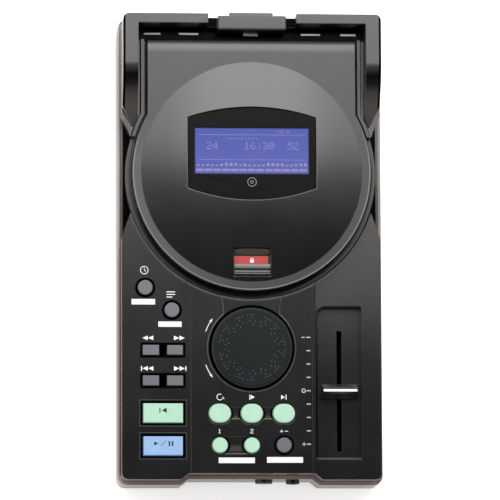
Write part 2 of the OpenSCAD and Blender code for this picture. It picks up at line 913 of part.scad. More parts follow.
module power_inlet() {
    color([0.1, 0.1, 0.1])
    difference() {
        union() {
            bar(-62, -52, rear_in - 12, rear_in, jack_z - 5.4, jack_z + 5.6);
            along_y(-57, rear_in - e, rear_in + 1.8, jack_z, 4.4);
        }
        along_y(-57, rear_in - 9, rear_in + 3, jack_z, 2.8);
    }
    color("silver")
        along_y(-57, rear_in - 9 - e, rear_in, jack_z, 1);
}

module power_switch() {
    color([0.1, 0.1, 0.1])
    difference() {
        bar(-43, -29, rear_in - 8, rear_in, jack_z - 4, jack_z + 4);
        bar(-41.5, -30.5, rear_in - 4, rear_in + 1, jack_z - 1.9, jack_z + 1.9);
    }
}

module power_slider() {
    color([0.75, 0.75, 0.75]) {
        bar(-41, -36, rear_in - 3.6, rear_in - 0.4, jack_z - 1.6, jack_z + 1.6);
        bar(-40.3, -36.7, rear_in - 0.4 - e, rear_y + 0.4, jack_z - 1.6, jack_z + 1.6);
    }
}

// Phono sockets in a row of x positions
module phono(xs) {
    for (x = xs) {
        color([0.12, 0.12, 0.12])
            bar(x - 6, x + 6, rear_in - 10, rear_in, jack_z - 6, jack_z + 6);
        color("silver")
        difference() {
            union() {
                along_y(x, rear_in - e, rear_in + 1.7, jack_z, 5);
                along_y(x, rear_in + 1.6, rear_y + tab_out - 0.5, jack_z, 4.15);
            }
            along_y(x, rear_in + 0.4, rear_y + tab_out + 1, jack_z, 3.3);
        }
        color([0.9, 0.9, 0.9])
        difference() {
            along_y(x, rear_in + 0.4 - e, rear_y + tab_out - 1, jack_z, 3.3);
            along_y(x, rear_in + 0.6, rear_y + tab_out + 1, jack_z, 1.65);
        }
    }
}

module line_sockets() {
    phono([-9, 9]);
}

module digital_socket() {
    phono([35.3]);
}

module remote_jack() {
    color([0.1, 0.1, 0.1])
    difference() {
        union() {
            bar(53, 61, rear_in - 12, rear_in, jack_z - 4, jack_z + 4);
            along_y(57, rear_in - e, rear_in + 1.8, jack_z, 3.4);
        }
        along_y(57, rear_in - 11, rear_in + 3, jack_z, 1.8);
    }
}

module phones_jack() {
    color([0.08, 0.08, 0.08])
    difference() {
        union() {
            bar(phones_x - 5.4, phones_x + 5.4, face_in, face_in + 11, phones_z - 7, phones_z + 5.5);
            along_y(phones_x, face_y - 2.2, face_in + e, phones_z, 3.9);
        }
        along_y(phones_x, face_y - 3, face_in + 9.5, phones_z, 3.2);
    }
}

module phones_control() {
    color([0.3, 0.3, 0.32])
    difference() {
        union() {
            bar(knob_x - 5.6, knob_x + 5.6, face_in + 2.2, face_in + 11, phones_z - 7, phones_z + 5.5);
            along_y(knob_x, face_in + 0.4, face_in + 2.2 + e, phones_z, 3.2);
        }
        along_y(knob_x, face_y, face_in + 9, phones_z, 1.5 + run_gap);
    }
}

module phones_knob() {
    color([0.08, 0.08, 0.08]) {
        difference() {
            along_y(knob_x, face_y - 2, face_in, phones_z, 5);
            translate([knob_x, face_y - 1.6, phones_z + 3.2])
                cube([0.7, 1, 3], center = true);
        }
        along_y(knob_x, face_in - e, face_in + 8.6, phones_z, 1.5);
    }
}

// ---------- jog wheel and fader ----------

module jog_wheel() {
    color([0.14, 0.17, 0.17])
    union() {
        translate([0, jog_y, deck_z - 3.3])
            rotate_extrude($fn = 144)
                polygon([
                    [0, 0], [jog_r, 0], [jog_r, 5.9], [jog_r - 0.5, 6.7], [jog_r - 1.3, 7.1], [0, 7.1]
                ]);
        rod(0, jog_y, 3, board_z + board_t + 0.6, deck_z - 3.2);
    }
}

module jog_encoder() {
    color([0.3, 0.3, 0.32])
    difference() {
        rod(0, jog_y, 3.9, board_z + board_t, deck_z - 3.9);
        rod(0, jog_y, 3 + run_gap, board_z + board_t + 0.4, deck_z);
    }
}

module fader_cap() {
    color([0.12, 0.11, 0.11])
    difference() {
        translate([fader_x - fader_cap_w / 2, fader_y, fader_floor + 0.4])
            rotate([90, 0, 90])
                linear_extrude(fader_cap_w)
                    polygon([
                        [-4.4, 0], [4.4, 0], [4, 5.4], [2.4, 7.2], [1, 10.8], [-1, 10.8],
                        [-2.4, 7.2], [-4, 5.4]
                    ]);
        bar(fader_x - 0.65, fader_x + 0.65, fader_y - 2.05, fader_y + 2.05,
            fader_floor - 1, fader_floor + 8);
    }
}

module fader_lever() {
    color("silver")
    union() {
        bar(fader_x - 0.6, fader_x + 0.6, fader_y - 2, fader_y + 2, fader_floor - 7, fader_floor + 7.6);
        bar(fader_x - 3, fader_x + 3, fader_y - 4, fader_y + 4, fader_floor - 8, fader_floor - 5.6);
    }
}

module fader_body() {
    color("gray")
    difference() {
        bar(fader_x - 4.6, fader_x + 4.6, fader_y - 40, fader_y + 40, fader_floor - 10, fader_floor - skin);
        bar(fader_x - 3.4, fader_x + 3.4, fader_y - 37, fader_y + 37, fader_floor - 8.4, fader_floor - 3.4);
        bar(fader_x - 1, fader_x + 1, fader_y - 35, fader_y + 35, fader_floor - 4, fader_floor);
    }
}

// ---------- keys ----------

// One key: cap, flange that holds it under the deck and a foot over its switch
module key(i) {
    k = key_at[i];
    translate([k[0], k[1], 0]) {
        slab(under_z - 1.9, key_top)
            key_plan(k[2]);
        slab(under_z - 1.9, under_z - 0.3)
            key_plan(k[2], 1);
        rod(0, 0, 1.8, key_foot_z, under_z - 1.8);
    }
}

module grey_key(i) {
    color([0.55, 0.53, 0.56])
        key(i);
}

module green_key(i) {
    color([0.7, 0.95, 0.78])
        key(i);
}

module blue_key(i) {
    color([0.63, 0.8, 0.97])
        key(i);
}

// ---------- lid ----------

// Plan of the display bezel: straight sides, arched front and rear edges
module window_plan(g = 0) {
    h = window_w / 2;
    rear_arc = (h * h + rear_bow * rear_bow) / (2 * rear_bow);
    front_arc = (h * h + front_bow * front_bow) / (2 * front_bow);
    intersection() {
        translate([-h - g, lid_cy - window_front - 2 * front_bow])
            square([window_w + 2 * g, window_rear + window_front + 4 * front_bow]);
        translate([0, lid_cy + window_rear - rear_arc])
            circle(rear_arc + g, $fn = 288);
        translate([0, lid_cy - window_front + front_arc])
            circle(front_arc + g, $fn = 288);
    }
}

// Shallow dome that stands on height z
module dome(z) {
    steps = 12;
    translate([0, lid_cy, z - e])
        rotate_extrude($fn = 144)
            polygon(concat([[0, 0]], [
                for (i = [0 : steps]) let (r = dome_r * (1 - i / steps))
                    [r, dome_h * (1 - pow(r / dome_r, 2)) + e]
            ]));
}

module lid_shell() {
    color([0.06, 0.06, 0.07])
    difference() {
        union() {
            slab(lip_z, flange_z)
                lid_plan(-lid_step);
            dome(flange_z);
            // cup of the lock slider
            bar(-lock_w / 2 - 1.4, lock_w / 2 + 1.4, lock_y - lock_l / 2 - 1.4, lock_y + lock_l / 2 + 1.4,
                lock_floor - 1.4, flange_z);
            // frame that carries the display
            slab(bezel_z - 4.4, flange_z)
                window_plan(1.5);
        }
        difference() {
            union() {
                slab(lip_z - 1, flange_z - 2)
                    lid_plan(-lid_step - 2);
                dome(flange_z - 2);
            }
            bar(-lock_w / 2 - 1.4, lock_w / 2 + 1.4, lock_y - lock_l / 2 - 1.4, lock_y + lock_l / 2 + 1.4,
                lock_floor - 1.4, flange_z + 1);
            slab(bezel_z - 4.4, flange_z + 1)
                window_plan(1.5);
        }
        // recess of the display bezel, and the well of the display below it
        slab(bezel_z - 1.6, dome_z + 1)
            window_plan(0.15);
        bar(-lcd_w / 2 - 2.2, lcd_w / 2 + 2.2, lcd_y - lcd_d / 2 - 2.2, lcd_y + lcd_d / 2 + 2.2,
            bezel_z - 6, bezel_z);
        // recess of the lock slider
        bar(-lock_w / 2, lock_w / 2, lock_y - lock_l / 2, lock_y + lock_l / 2, lock_floor, dome_z + 1);
        bar(-2.1, 2.1, slider_y0 + 0.9, slider_y0 + slider_l + lock_travel - 0.9, lock_floor - 3, dome_z);
        // notches for the hinge ears
        for (s = [-1, 1])
            bar(s * 52 - 2.6, s * 52 + 2.6, pivot_y - 4, lid_rear + 1, lip_z - 1, pivot_z + 3.2);
    }
}

module lid_liner() {
    color([0.08, 0.08, 0.09])
    difference() {
        union() {
            difference() {
                slab(lid_z0, lip_z)
                    lid_plan();
                slab(lid_z0 + 2, lip_z + 1)
                    lid_plan(-3.7);
            }
            for (s = [-1, 1])
                translate([s * 47.2 - 2.4, 0, 0]) {
                    along_x(0, 4.8, pivot_y, pivot_z, lip_z - pivot_z);
                    bar(0, 4.8, pivot_y - 2.4, pivot_y + 2.4, lid_z0 + 1, pivot_z);
                }
        }
        for (s = [-1, 1]) {
            bar(s * 52 - 2.6, s * 52 + 2.6, pivot_y - 6, lid_rear + 1, lid_z0 - 1, lip_z + 1);
            along_x(s * 47.2 - 5, s * 47.2 + 5, pivot_y, pivot_z, 1.2 + run_gap);
        }
    }
}

module display_bezel() {
    color([0.03, 0.03, 0.03])
    difference() {
        slab(bezel_z - 1.6, bezel_z)
            window_plan();
        bar(-lcd_w / 2, lcd_w / 2, lcd_y - lcd_d / 2, lcd_y + lcd_d / 2, bezel_z - 2, bezel_z + 1);
    }
}

module display_module() {
    color([0.35, 0.42, 0.8])
    union() {
        bar(-lcd_w / 2 - 2, lcd_w / 2 + 2, lcd_y - lcd_d / 2 - 2, lcd_y + lcd_d / 2 + 2,
            bezel_z - 5.2, bezel_z - 1.6);
        bar(-lcd_w / 2 + 0.1, lcd_w / 2 - 0.1, lcd_y - lcd_d / 2 + 0.1, lcd_y + lcd_d / 2 - 0.1,
            bezel_z - 1.6 - e, bezel_z - 0.6);
    }
}

module lock_slider() {
    color([0.12, 0.14, 0.13])
    union() {
        difference() {
            bar(-lock_w / 2 + 0.3, lock_w / 2 - 0.3, slider_y0, slider_y0 + slider_l,
                lock_floor + 0.05, flange_z + 0.3);
            translate([-lock_w, slider_y0 + 2.4, flange_z + 1.6])
                rotate([0, 90, 0])
                    cylinder(r = 2.2, h = 2 * lock_w);
        }
        bar(-1.8, 1.8, slider_y0 + 1.2, slider_y0 + slider_l - 1.2, lock_floor - 1.9, lock_floor + 0.1);
        bar(-4, 4, slider_y0 + 0.4, slider_y0 + slider_l - 0.4, lock_floor - 3, lock_floor - 1.8);
    }
}

// ---------- the whole object ----------

bottom_case();
top_cover();
control_panel();
left_rail();
right_rail();
rear_bridge();
rear_panel();
disc_well();
mech_chassis();
chassis_dampers();
spindle_motor();
spindle_hub();
hub_balls();
pickup_sled();
lens_holder();
pickup_lens();
guide_rods();
drive_gear();
motor_pinion();
sled_motor();
main_board();
key_board();
key_switches();
power_inlet();
power_switch();
power_slider();
line_sockets();
digital_socket();
remote_jack();
phones_jack();
phones_knob();
phones_control();
jog_wheel();
jog_encoder();
fader_cap();
fader_lever();
fader_body();
grey_key(0);  // enter_key
grey_key(1);  // mode_key
grey_key(2);  // search_back_key
grey_key(3);  // search_forward_key
grey_key(4);  // skip_back_key
grey_key(5);  // skip_forward_key
green_key(6);  // cue_key
blue_key(7);  // play_key
green_key(8);  // loop_key
green_key(9);  // loop_in_key
green_key(10);  // loop_out_key
green_key(11);  // hot_cue_1_key
green_key(12);  // hot_cue_2_key
grey_key(13);  // tempo_key
lid_shell();
lid_liner();
display_bezel();
display_module();
lock_slider();
hinge_pins();
feet();
case_screws();
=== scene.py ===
"""Tabletop disc player for mixing music: finishes, fine pieces, stage and camera on the model."""
import json
import math
import random

import bmesh
import bpy
from mathutils import Matrix, Vector


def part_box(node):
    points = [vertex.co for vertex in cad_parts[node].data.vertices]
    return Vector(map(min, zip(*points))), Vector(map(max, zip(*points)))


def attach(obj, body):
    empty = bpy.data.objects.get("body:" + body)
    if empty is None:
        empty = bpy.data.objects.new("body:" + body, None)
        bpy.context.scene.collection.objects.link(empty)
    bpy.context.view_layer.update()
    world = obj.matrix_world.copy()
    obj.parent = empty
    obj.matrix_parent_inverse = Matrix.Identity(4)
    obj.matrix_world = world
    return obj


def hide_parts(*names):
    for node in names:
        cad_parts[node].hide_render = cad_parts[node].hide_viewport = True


bl_info = {
    "name": "Tabletop Disc Player",
    "version": (1, 0, 0),
    "blender": (4, 5, 0),
    "location": "View3D > Sidebar > Disc Player",
    "description": "Finishes, printed marks, keys, display and stage of a tabletop disc player",
    "category": "Object",
}

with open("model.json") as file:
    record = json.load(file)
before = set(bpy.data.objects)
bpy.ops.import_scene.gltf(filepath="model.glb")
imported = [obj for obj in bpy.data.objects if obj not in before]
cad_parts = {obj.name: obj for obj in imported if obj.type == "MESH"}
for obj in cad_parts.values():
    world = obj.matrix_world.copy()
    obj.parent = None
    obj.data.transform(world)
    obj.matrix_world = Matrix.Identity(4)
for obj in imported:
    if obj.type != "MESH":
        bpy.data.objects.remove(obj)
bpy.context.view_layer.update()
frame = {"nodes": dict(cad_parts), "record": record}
NODE = frame["nodes"]
BODY_OF = {n: b for b, names in frame["record"]["behaviour"]["bodies"].items() for n in names}
SLOT_OF = {row["node"]: row.get("material_slot") for row in frame["record"]["subparts"]}
MM = 0.001


def low(node):
    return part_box(node)[0] / MM


def high(node):
    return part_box(node)[1] / MM


def middle(node):
    return (low(node) + high(node)) / 2


# Places on the player, in millimetres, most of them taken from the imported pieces
DECK = high("top_cover").z
# Below GAP_Z the gaps of the cover take painted shade.
GAP_Z = DECK - 0.9
FRONT_Y = low("top_cover").y
REAR_Y = high("top_cover").y
SIDE_X = high("top_cover").x
LID_Y = middle("spindle_hub").y
LID_REAR = high("lid_liner").y
LID_TOP = high("lock_slider").z - 0.3  # the lock slider stands 0.3 mm above the flange
LID_R = high("lid_shell").x
GROOVE_R = 73.2
DOME_R = 64.1
WINDOW_X = high("display_bezel").x
WINDOW_Y = low("display_bezel").y
BEZEL_TOP = high("display_bezel").z
LCD_Y = middle("display_module").y
LCD_FACE = high("display_module").z
LOCK_FLOOR = LID_TOP - 2.0
RAIL_FLAT = 34.0  # length of the level part of a rail
JOG_Y = middle("jog_wheel").y
JOG_TOP = high("jog_wheel").z
JOG_CUP_R = 25.2
JOG_DOT_ROWS = ((13.6, (0,)), (15.4, (-1, 1)), (17.2, (0,)), (19.0, (-1, 0, 1)))
JOG_ARC_R = 28.3
FADER_X = middle("fader_cap").x
FADER_Y = middle("fader_cap").y
TRAY = (FADER_X - 14.0, FADER_X + 12.7, FADER_Y - 39.8, FADER_Y + 49.2)
KEY_TOP = high("play_key").z
LENS_Y = middle("pickup_lens").y
JACK_Z = middle("line_sockets").z
JACKS_X = (-9.0, 9.0, middle("digital_socket").x)

LARGE_KEYS = ("cue_key", "play_key")
OVAL_KEYS = ("loop_key", "loop_in_key", "loop_out_key")
HOT_KEYS = ("hot_cue_1_key", "hot_cue_2_key")
BLACK = (0.075, 0.075, 0.08)

# In metres: edge radius of smaller and of fine pieces, and thickness of the marks that lie deep
SMALL_ROUND = 0.0005
FINE_ROUND = 0.0003
FILM = 0.00002


# ---------- settings ----------

def tint(name, description, default):
    return bpy.props.FloatVectorProperty(
        name=name, description=description, default=default, size=3, min=0.0, max=1.0,
        subtype="COLOR_GAMMA")


def length(name, description, default, lowest=0.0, highest=0.05):
    return bpy.props.FloatProperty(
        name=name, description=description, default=default, min=lowest, max=highest, precision=5,
        subtype="DISTANCE", unit="LENGTH")


def share(name, description, default, highest=1.0):
    return bpy.props.FloatProperty(
        name=name, description=description, default=default, min=0.0, max=highest,
        subtype="FACTOR")


class FinishSettings(bpy.types.PropertyGroup):
    casing: tint("Casing", "Gloss black of the cover and the middle panel", (0.028, 0.028, 0.031))
    lid: tint("Lid", "Gloss black of the lid", (0.026, 0.025, 0.026))
    rails: tint("Grip rails", "Satin black of the rails and the bridge", (0.038, 0.034, 0.031))
    # The bottom case's warm grey is partly its own tone and partly lifted to stand for the pale
    # floor's reflection.
    case: tint("Bottom case", "Warm dark grey of the bottom case", (0.17, 0.155, 0.145))
    # The three edge tones below are painted highlights on rounded edges; the case edge is a painted
    # reflection of the pale floor.
    edges: tint("Edges", "Rounded edges of the black pieces", (0.32, 0.30, 0.285))
    cover_edge_highlight: tint("Cover edges", "Rounded edges of the cover", (0.308, 0.30, 0.295))
    case_edge_highlight: tint("Case edge", "Upper edge of the bottom case", (0.60, 0.545, 0.52))
    bezel: tint("Bezel", "Black round the display", (0.045, 0.044, 0.041))
    grey_keys: tint("Grey keys", "Plain keys", (0.325, 0.31, 0.34))
    green_keys: tint("Green keys", "Keys lit green", (0.765, 0.93, 0.83))
    blue_keys: tint("Blue key", "Key lit blue", (0.635, 0.78, 0.94))
    display: tint("Display", "Lit field of the display", (0.345, 0.385, 0.715))
    marks: tint("Printed marks", "White ink on the cover", (0.80, 0.80, 0.80))
    lock_field: tint("Lock field", "Red field behind the lock slider", (0.60, 0.20, 0.19))
    jog: tint("Jog wheel", "Dark green grey of the jog wheel", (0.02, 0.045, 0.05))
    glow: share("Glow", "Light that the lit keys and the display give", 0.9, 4.0)
    wear: share("Wear", "Rubbed edges and fine hairlines", 0.35)


class ShapeSettings(bpy.types.PropertyGroup):
    cover_round: length("Cover edges", "Edge radius of the cover and the middle panel", 0.0006)
    case_round: length("Case edges", "Radius of the upper edge of the bottom case", 0.0017)
    rail_round: length("Rail edges", "Edge radius of the grip rails", 0.0012)
    rail_bend: length("Rail bend", "Length of the bend at the top of the slope", 0.0055)
    lid_round: length("Lid edges", "Edge radius of the lid", 0.0006)
    key_round: length("Key edges", "Edge radius of the keys", 0.00045)
    ink: length("Ink", "Thickness of the printed marks", 0.00004)
    dot: length("Grip dots", "Radius of the raised dots on the jog wheel", 0.00036)


class StageSettings(bpy.types.PropertyGroup):
    distance: length("Camera distance", "From the camera to the deck", 3.0, 0.5, 10.0)
    span: length("Field", "Width that the camera sees at the deck", 0.2895, 0.05, 2.0)
    floor: tint("Floor", "Pale floor", (0.97, 0.97, 0.97))
    horizon: share("Room light", "Light from the walls all round", 1.05, 4.0)
    zenith: share("Ceiling light", "Light from straight above", 0.07, 4.0)
    floor_glow: share("Floor light", "Light that the floor gives by itself", 0.5, 4.0)
    overhead: share("Overhead light", "Brightness of the light above the rear", 7.4, 40.0)
    side: share("Side light", "Brightness of the strips at the sides", 7.0, 40.0)


# ---------- shader maths ----------

def math_node(operation, swap=False):
    """A method of Wire that adds one Math node."""
    def method(self, *others):
        values = [self, *others]
        if swap:
            values.reverse()
        return self.paint.node("ShaderNodeMath", {"operation": operation}, dict(enumerate(values)))
    return method


class Wire:
    """One output of a shader node. Arithmetic on it adds Math nodes."""

    def __init__(self, paint, socket):
        self.paint = paint
        self.socket = socket

    __add__ = __radd__ = math_node("ADD")
    __mul__ = __rmul__ = math_node("MULTIPLY")
    __sub__ = math_node("SUBTRACT")
    __rsub__ = math_node("SUBTRACT", swap=True)
    __truediv__ = math_node("DIVIDE")
    __gt__ = math_node("GREATER_THAN")
    __lt__ = math_node("LESS_THAN")
    __abs__ = math_node("ABSOLUTE")
    least = math_node("MINIMUM")
    most = math_node("MAXIMUM")
    fraction = math_node("FRACT")
    root = math_node("SQRT")

    def span(self, start, end):
        """Rises smoothly from 0 at start to 1 at end."""
        return self.paint.node(
            "ShaderNodeMapRange", {"interpolation_type": "SMOOTHSTEP", "clamp": True},
            {"Value": self, "From Min": start, "From Max": end, "To Min": 0.0, "To Max": 1.0})

    def fall(self, start, end):
        return 1.0 - self.span(start, end)


class Tree:
    """A node tree under construction."""

    def __init__(self, tree):
        self.tree = tree

    def feed(self, socket, value):
        if isinstance(value, Wire):
            self.tree.links.new(value.socket, socket)
        elif isinstance(value, (tuple, list)) and len(value) == 3 and socket.type == "RGBA":
            socket.default_value = (*value, 1.0)
        else:
            socket.default_value = value

    def node(self, kind, settings=None, sockets=None, out=0):
        """Adds a node: its settings first, then the values or links of its sockets."""
        made = self.tree.nodes.new(kind)
        for name, value in (settings or {}).items():
            setattr(made, name, value)
        for key, value in (sockets or {}).items():
            self.feed(made.inputs[key], value)
        if isinstance(out, tuple):
            return [Wire(self, made.outputs[o]) for o in out]
        return Wire(self, made.outputs[out])

    def vector(self, operation, sockets, out=0):
        return self.node("ShaderNodeVectorMath", {"operation": operation}, sockets, out)

    def parts(self, vector, out):
        """X, Y or Z of a vector, or several of them."""
        return self.node("ShaderNodeSeparateXYZ", None, {0: vector}, out)

    def mix(self, factor, first, second):
        """Mixes two colours."""
        return self.node(
            "ShaderNodeMix", {"data_type": "RGBA"}, {0: factor, 6: first, 7: second}, 2)


class Paint(Tree):
    """A material under construction, with its place on the player in millimetres."""

    def __init__(self, name):
        self.material = bpy.data.materials.new(name)
        self.material.use_nodes = True
        super().__init__(self.material.node_tree)
        self.tree.nodes.clear()
        self.body = self.tree.nodes.new("ShaderNodeBsdfPrincipled")
        output = self.tree.nodes.new("ShaderNodeOutputMaterial")
        self.tree.links.new(self.body.outputs["BSDF"], output.inputs["Surface"])
        coords = self.node("ShaderNodeTexCoord", out="Object")
        self.mm = self.vector("SCALE", {0: coords, "Scale": 1.0 / MM})
        self.x, self.y, self.z = self.parts(self.mm, ("X", "Y", "Z"))

    def noise(self, per_mm, detail=2.0, roughness=0.5, stretch=None):
        place = self.vector("MULTIPLY", {0: self.mm, 1: stretch}) if stretch else self.mm
        return self.node(
            "ShaderNodeTexNoise", None,
            {"Vector": place, "Scale": per_mm, "Detail": detail, "Roughness": roughness})

    def cells(self, per_mm, out="Distance"):
        return self.node(
            "ShaderNodeTexVoronoi", None, {"Vector": self.mm, "Scale": per_mm}, out)

    def around(self, x, y):
        """Distance in plan from x, y."""
        dx = self.x - x
        dy = self.y - y
        return (dx * dx + dy * dy).root()

    def within(self, x0, x1, y0, y1):
        """1 inside a rectangle of the plan."""
        across = (self.x > x0) * (self.x < x1)
        return across * (self.y > y0) * (self.y < y1)

    def rolled(self, start=0.94):
        """1 on the rounded upper edges, 0 on flat tops and on walls."""
        up = self.parts(self.node("ShaderNodeTexCoord", out="Normal"), "Z")
        return up.span(0.06, 0.35) * up.fall(start - 0.25, start)

    def rim(self, radius):
        """Rounded normal at the edges, and how close the nearest edge is."""
        rounded = self.node("ShaderNodeBevel", {"samples": 4}, {"Radius": radius * MM})
        flat = self.node("ShaderNodeNewGeometry", out="Normal")
        bend = self.vector("DOT_PRODUCT", {0: rounded, 1: flat}, "Value")
        return rounded, (1.0 - bend).span(0.01, 0.3)

    def bump(self, height, depth, under=None):
        sockets = {"Strength": 1.0, "Distance": depth * MM, "Height": height}
        if under is not None:
            sockets["Normal"] = under
        return self.node("ShaderNodeBump", None, sockets)

    def hairlines(self):
        """Straight faint polishing lines in two directions, only in patches."""
        first = self.noise(1.0, 1.0, 0.4, (2.1, 0.005, 0.4)).span(0.70, 0.76)
        second = self.noise(1.0, 1.0, 0.4, (0.006, 1.7, 0.4)).span(0.71, 0.77)
        return first.most(second) * self.noise(0.03).span(0.5, 0.75)

    def dust(self):
        distance, colour = self.cells(0.55, ("Distance", "Color"))
        return distance.fall(0.015, 0.045) * (self.parts(colour, "X") > 0.93)

    def layers(self, shade, *layers):
        """Lays colours over a shade, each through its own mask."""
        for mask, colour in layers:
            shade = self.mix(mask, shade, colour)
        return shade

    def done(self, **sockets):
        """Constants go on the shader's own sockets, what varies is linked."""
        for name, value in sockets.items():
            self.feed(self.body.inputs[name.replace("_", " ")], value)
        return self.material

    def lit(self, shade, dark, **sockets):
        """A surface with a lamp behind it. dark is how little it gives back of the room's light."""
        return self.done(
            Base_Color=self.mix(dark, shade, (0.0, 0.0, 0.0)), Emission_Color=shade,
            Emission_Strength=bpy.context.scene.player_finish.glow, **sockets)


def linear(colour):
    """Screen colour to light."""
    return tuple(c / 12.92 if c <= 0.04045 else ((c + 0.055) / 1.055) ** 2.4 for c in colour)


def lighter(colour, part):
    return tuple(c + (1.0 - c) * part for c in colour)


def darker(colour, part):
    return tuple(c * (1.0 - part) for c in colour)


# ---------- finishes ----------

def moulded(name, colour, gloss, grain=5.0, depth=0.004, mottle=0.1, edge=0.3, specular=0.5,
            dull=None, pit=None, dusty=0.2, rolled=None, start=0.94, lines=None, spare=None):
    """Moulded plastic: fine grain, uneven gloss, rubbed edges, hairlines and dust.

    dull gives a mask and the gloss of a zone with another texture. pit gives the mask of deep
    places painted black with no reflection: painted shade. rolled is the tone painted on the
    rounded upper edges: a painted highlight, or painted shade where it is darker than the base.
    lines is the mask of other places painted in that tone (painted highlights, sheen and
    reflections), and spare the mask of edges that don't take it.
    """
    paint = Paint(name)
    wear = bpy.context.scene.player_finish.wear
    base = linear(colour)
    rounded, rim = paint.rim(edge)
    broad = paint.noise(0.035, 3.0, 0.6)
    fine = paint.noise(grain, 3.0, 0.65)
    hairs = paint.hairlines() * wear
    specks = paint.dust() * dusty
    worn = rim * paint.noise(0.5, 3.0, 0.7).span(0.42, 0.68) * wear
    shade = paint.layers(
        darker(base, mottle), (broad.span(0.3, 0.7), lighter(base, mottle * 0.02)),
        (worn * 0.3, lighter(base, 0.1)), (specks * 0.3, (0.2, 0.19, 0.18)))
    rough = gloss + (broad - 0.5) * 0.04 + (fine - 0.5) * 0.03
    rough = rough + hairs * 0.12 + specks * 0.2 + worn * 0.1
    height = fine * 0.6 + paint.noise(0.6) * 0.3
    sockets = {}
    if dull:
        mask, value = dull
        rough = rough + mask(paint) * (value - gloss)
    upper = paint.rolled(start) if rolled else 0.0
    if spare:
        upper = upper * (1.0 - spare(paint))
    if lines:
        upper = upper.most(lines(paint) * 0.55)
    # Painted shade: deep places turn black and take a black metallic gloss, so they mirror nothing.
    if pit:
        deep = pit(paint)
        shade = paint.mix(deep * 0.97, shade, (0.0, 0.0, 0.0))
        sockets["Metallic"] = deep * (1.0 - upper) * 0.97
    # Painted highlight, or painted shade, in the rolled tone on rounded edges and on the lines
    # mask.
    if rolled:
        shade = paint.mix(upper * (fine * 0.3 + 0.8).least(1.0), shade, linear(rolled))
    return paint.done(
        Base_Color=shade, Roughness=rough, Normal=paint.bump(height, depth, rounded), IOR=1.5,
        Specular_IOR_Level=specular, **sockets)


def cover_painted_shade(paint):
    """Painted shade in the groove round the lid, the finger scallops, the fader slot and the recess
    behind the lid, and a painted shadow on the tray's left wall and the floor beside it.
    """
    side = abs(paint.x)
    sunk = paint.z < GAP_Z
    groove = (paint.around(0.0, LID_Y) < GROOVE_R + 0.4) * sunk
    scallop = (side > 68.0) * (side < SIDE_X - 1.2)
    scallop = scallop * (paint.y > LID_Y - 38.0) * (paint.y < LID_Y + 35.0) * sunk
    straight = (side < 65.0) * (paint.y > LID_Y) * (paint.y < LID_REAR + 1.2) * sunk
    behind = (side < 66.2) * (paint.y > LID_REAR + 0.6) * (paint.y < REAR_Y - 0.6)
    # Painted shadow along the left wall of the tray.
    wall = paint.within(TRAY[0] - 0.5, TRAY[0] + 3.0, TRAY[2] - 0.1, TRAY[3] + 0.1)
    wall = wall * paint.x.fall(TRAY[0] + 0.5, TRAY[0] + 2.2) * 0.9
    groove = groove.most(wall * (paint.z < DECK - 0.6) * (paint.z > 30.0))
    slot = paint.within(FADER_X - 3.0, FADER_X + 3.0, -130.0, -36.0)
    slot = slot * (paint.z < low("fader_body").z + 9.5)
    return groove.most(scallop).most(straight).most(behind * (paint.z < DECK + 0.1)).most(slot)


def key_gaps(paint, margin, *names):
    """Mask of the gap round keys, where painted shade goes, also used to place painted highlights
    round keys. A pair of names gives the gap round both.
    """
    gap = None
    for name in names:
        first, last = name if isinstance(name, tuple) else (name, name)
        foot, head = low(first), high(last)
        if first == last and first not in LARGE_KEYS:
            spot, half = middle(first), (head - foot) / 2
            dx = (paint.x - spot.x) / (half.x + margin)
            dy = (paint.y - spot.y) / (half.y + margin)
            mask = (dx * dx + dy * dy) < 1.0
        else:
            mask = paint.within(
                foot.x - margin, head.x + margin, foot.y - margin, head.y + margin)
        gap = mask if gap is None else gap.most(mask)
    return gap


def pod_painted_shade(paint):
    """Painted shade in the deep places of the cover and in the gaps round the keys on its left pod.
    """
    small = key_gaps(paint, 0.5, "enter_key", "mode_key",
                     ("search_back_key", "search_forward_key"),
                     ("skip_back_key", "skip_forward_key"))
    return cover_painted_shade(paint).most(small).most(key_gaps(paint, 0.65, *LARGE_KEYS))


def pod_painted_highlights(paint):
    """Painted highlights: thin lines round the two large lit keys, a line at the front of the tray
    floor, and the painted reflection, sheen and groove highlight of the cover.
    """
    hole_highlights = key_gaps(paint, 1.4, *LARGE_KEYS) * (paint.z > DECK - 0.5)
    hole_highlights = hole_highlights * (1.0 - key_gaps(paint, 1.0, *LARGE_KEYS))
    # Painted highlight along the front of the tray floor.
    tray = paint.within(TRAY[0], TRAY[1], TRAY[2] + 0.4, TRAY[2] + 1.5)
    hole_highlights = hole_highlights.most(tray * (paint.z < DECK - 2.0) * 1.4)
    hole_highlights = hole_highlights.most(outer_walls(paint)).most(right_pod_sheen(paint))
    return hole_highlights.most(groove_ring(paint))


def groove_ring(paint):
    """Painted highlight on the edge of the cover along the groove round the lid, brightest at the
    front.
    """
    ring = paint.around(0.0, LID_Y)
    ring = ring.span(GROOVE_R - 0.3, GROOVE_R + 0.2) * ring.fall(GROOVE_R + 0.7, GROOVE_R + 1.7)
    return ring * (paint.z > GAP_Z) * (1.0 - paint.y.span(-28.0, 12.0) * 0.6) * 1.5


def right_pod_sheen(paint):
    """Painted sheen on the right pod and its tray, paler towards the lid."""
    pod = (paint.x > high("control_panel").x) * (paint.x < SIDE_X - 0.4)
    tops = (paint.z > DECK - 0.5).most(paint.within(*TRAY) * (paint.z > 34.7))
    return pod * tops * paint.y.span(-75.0, -5.0) * (paint.y < 20.0) * 0.68


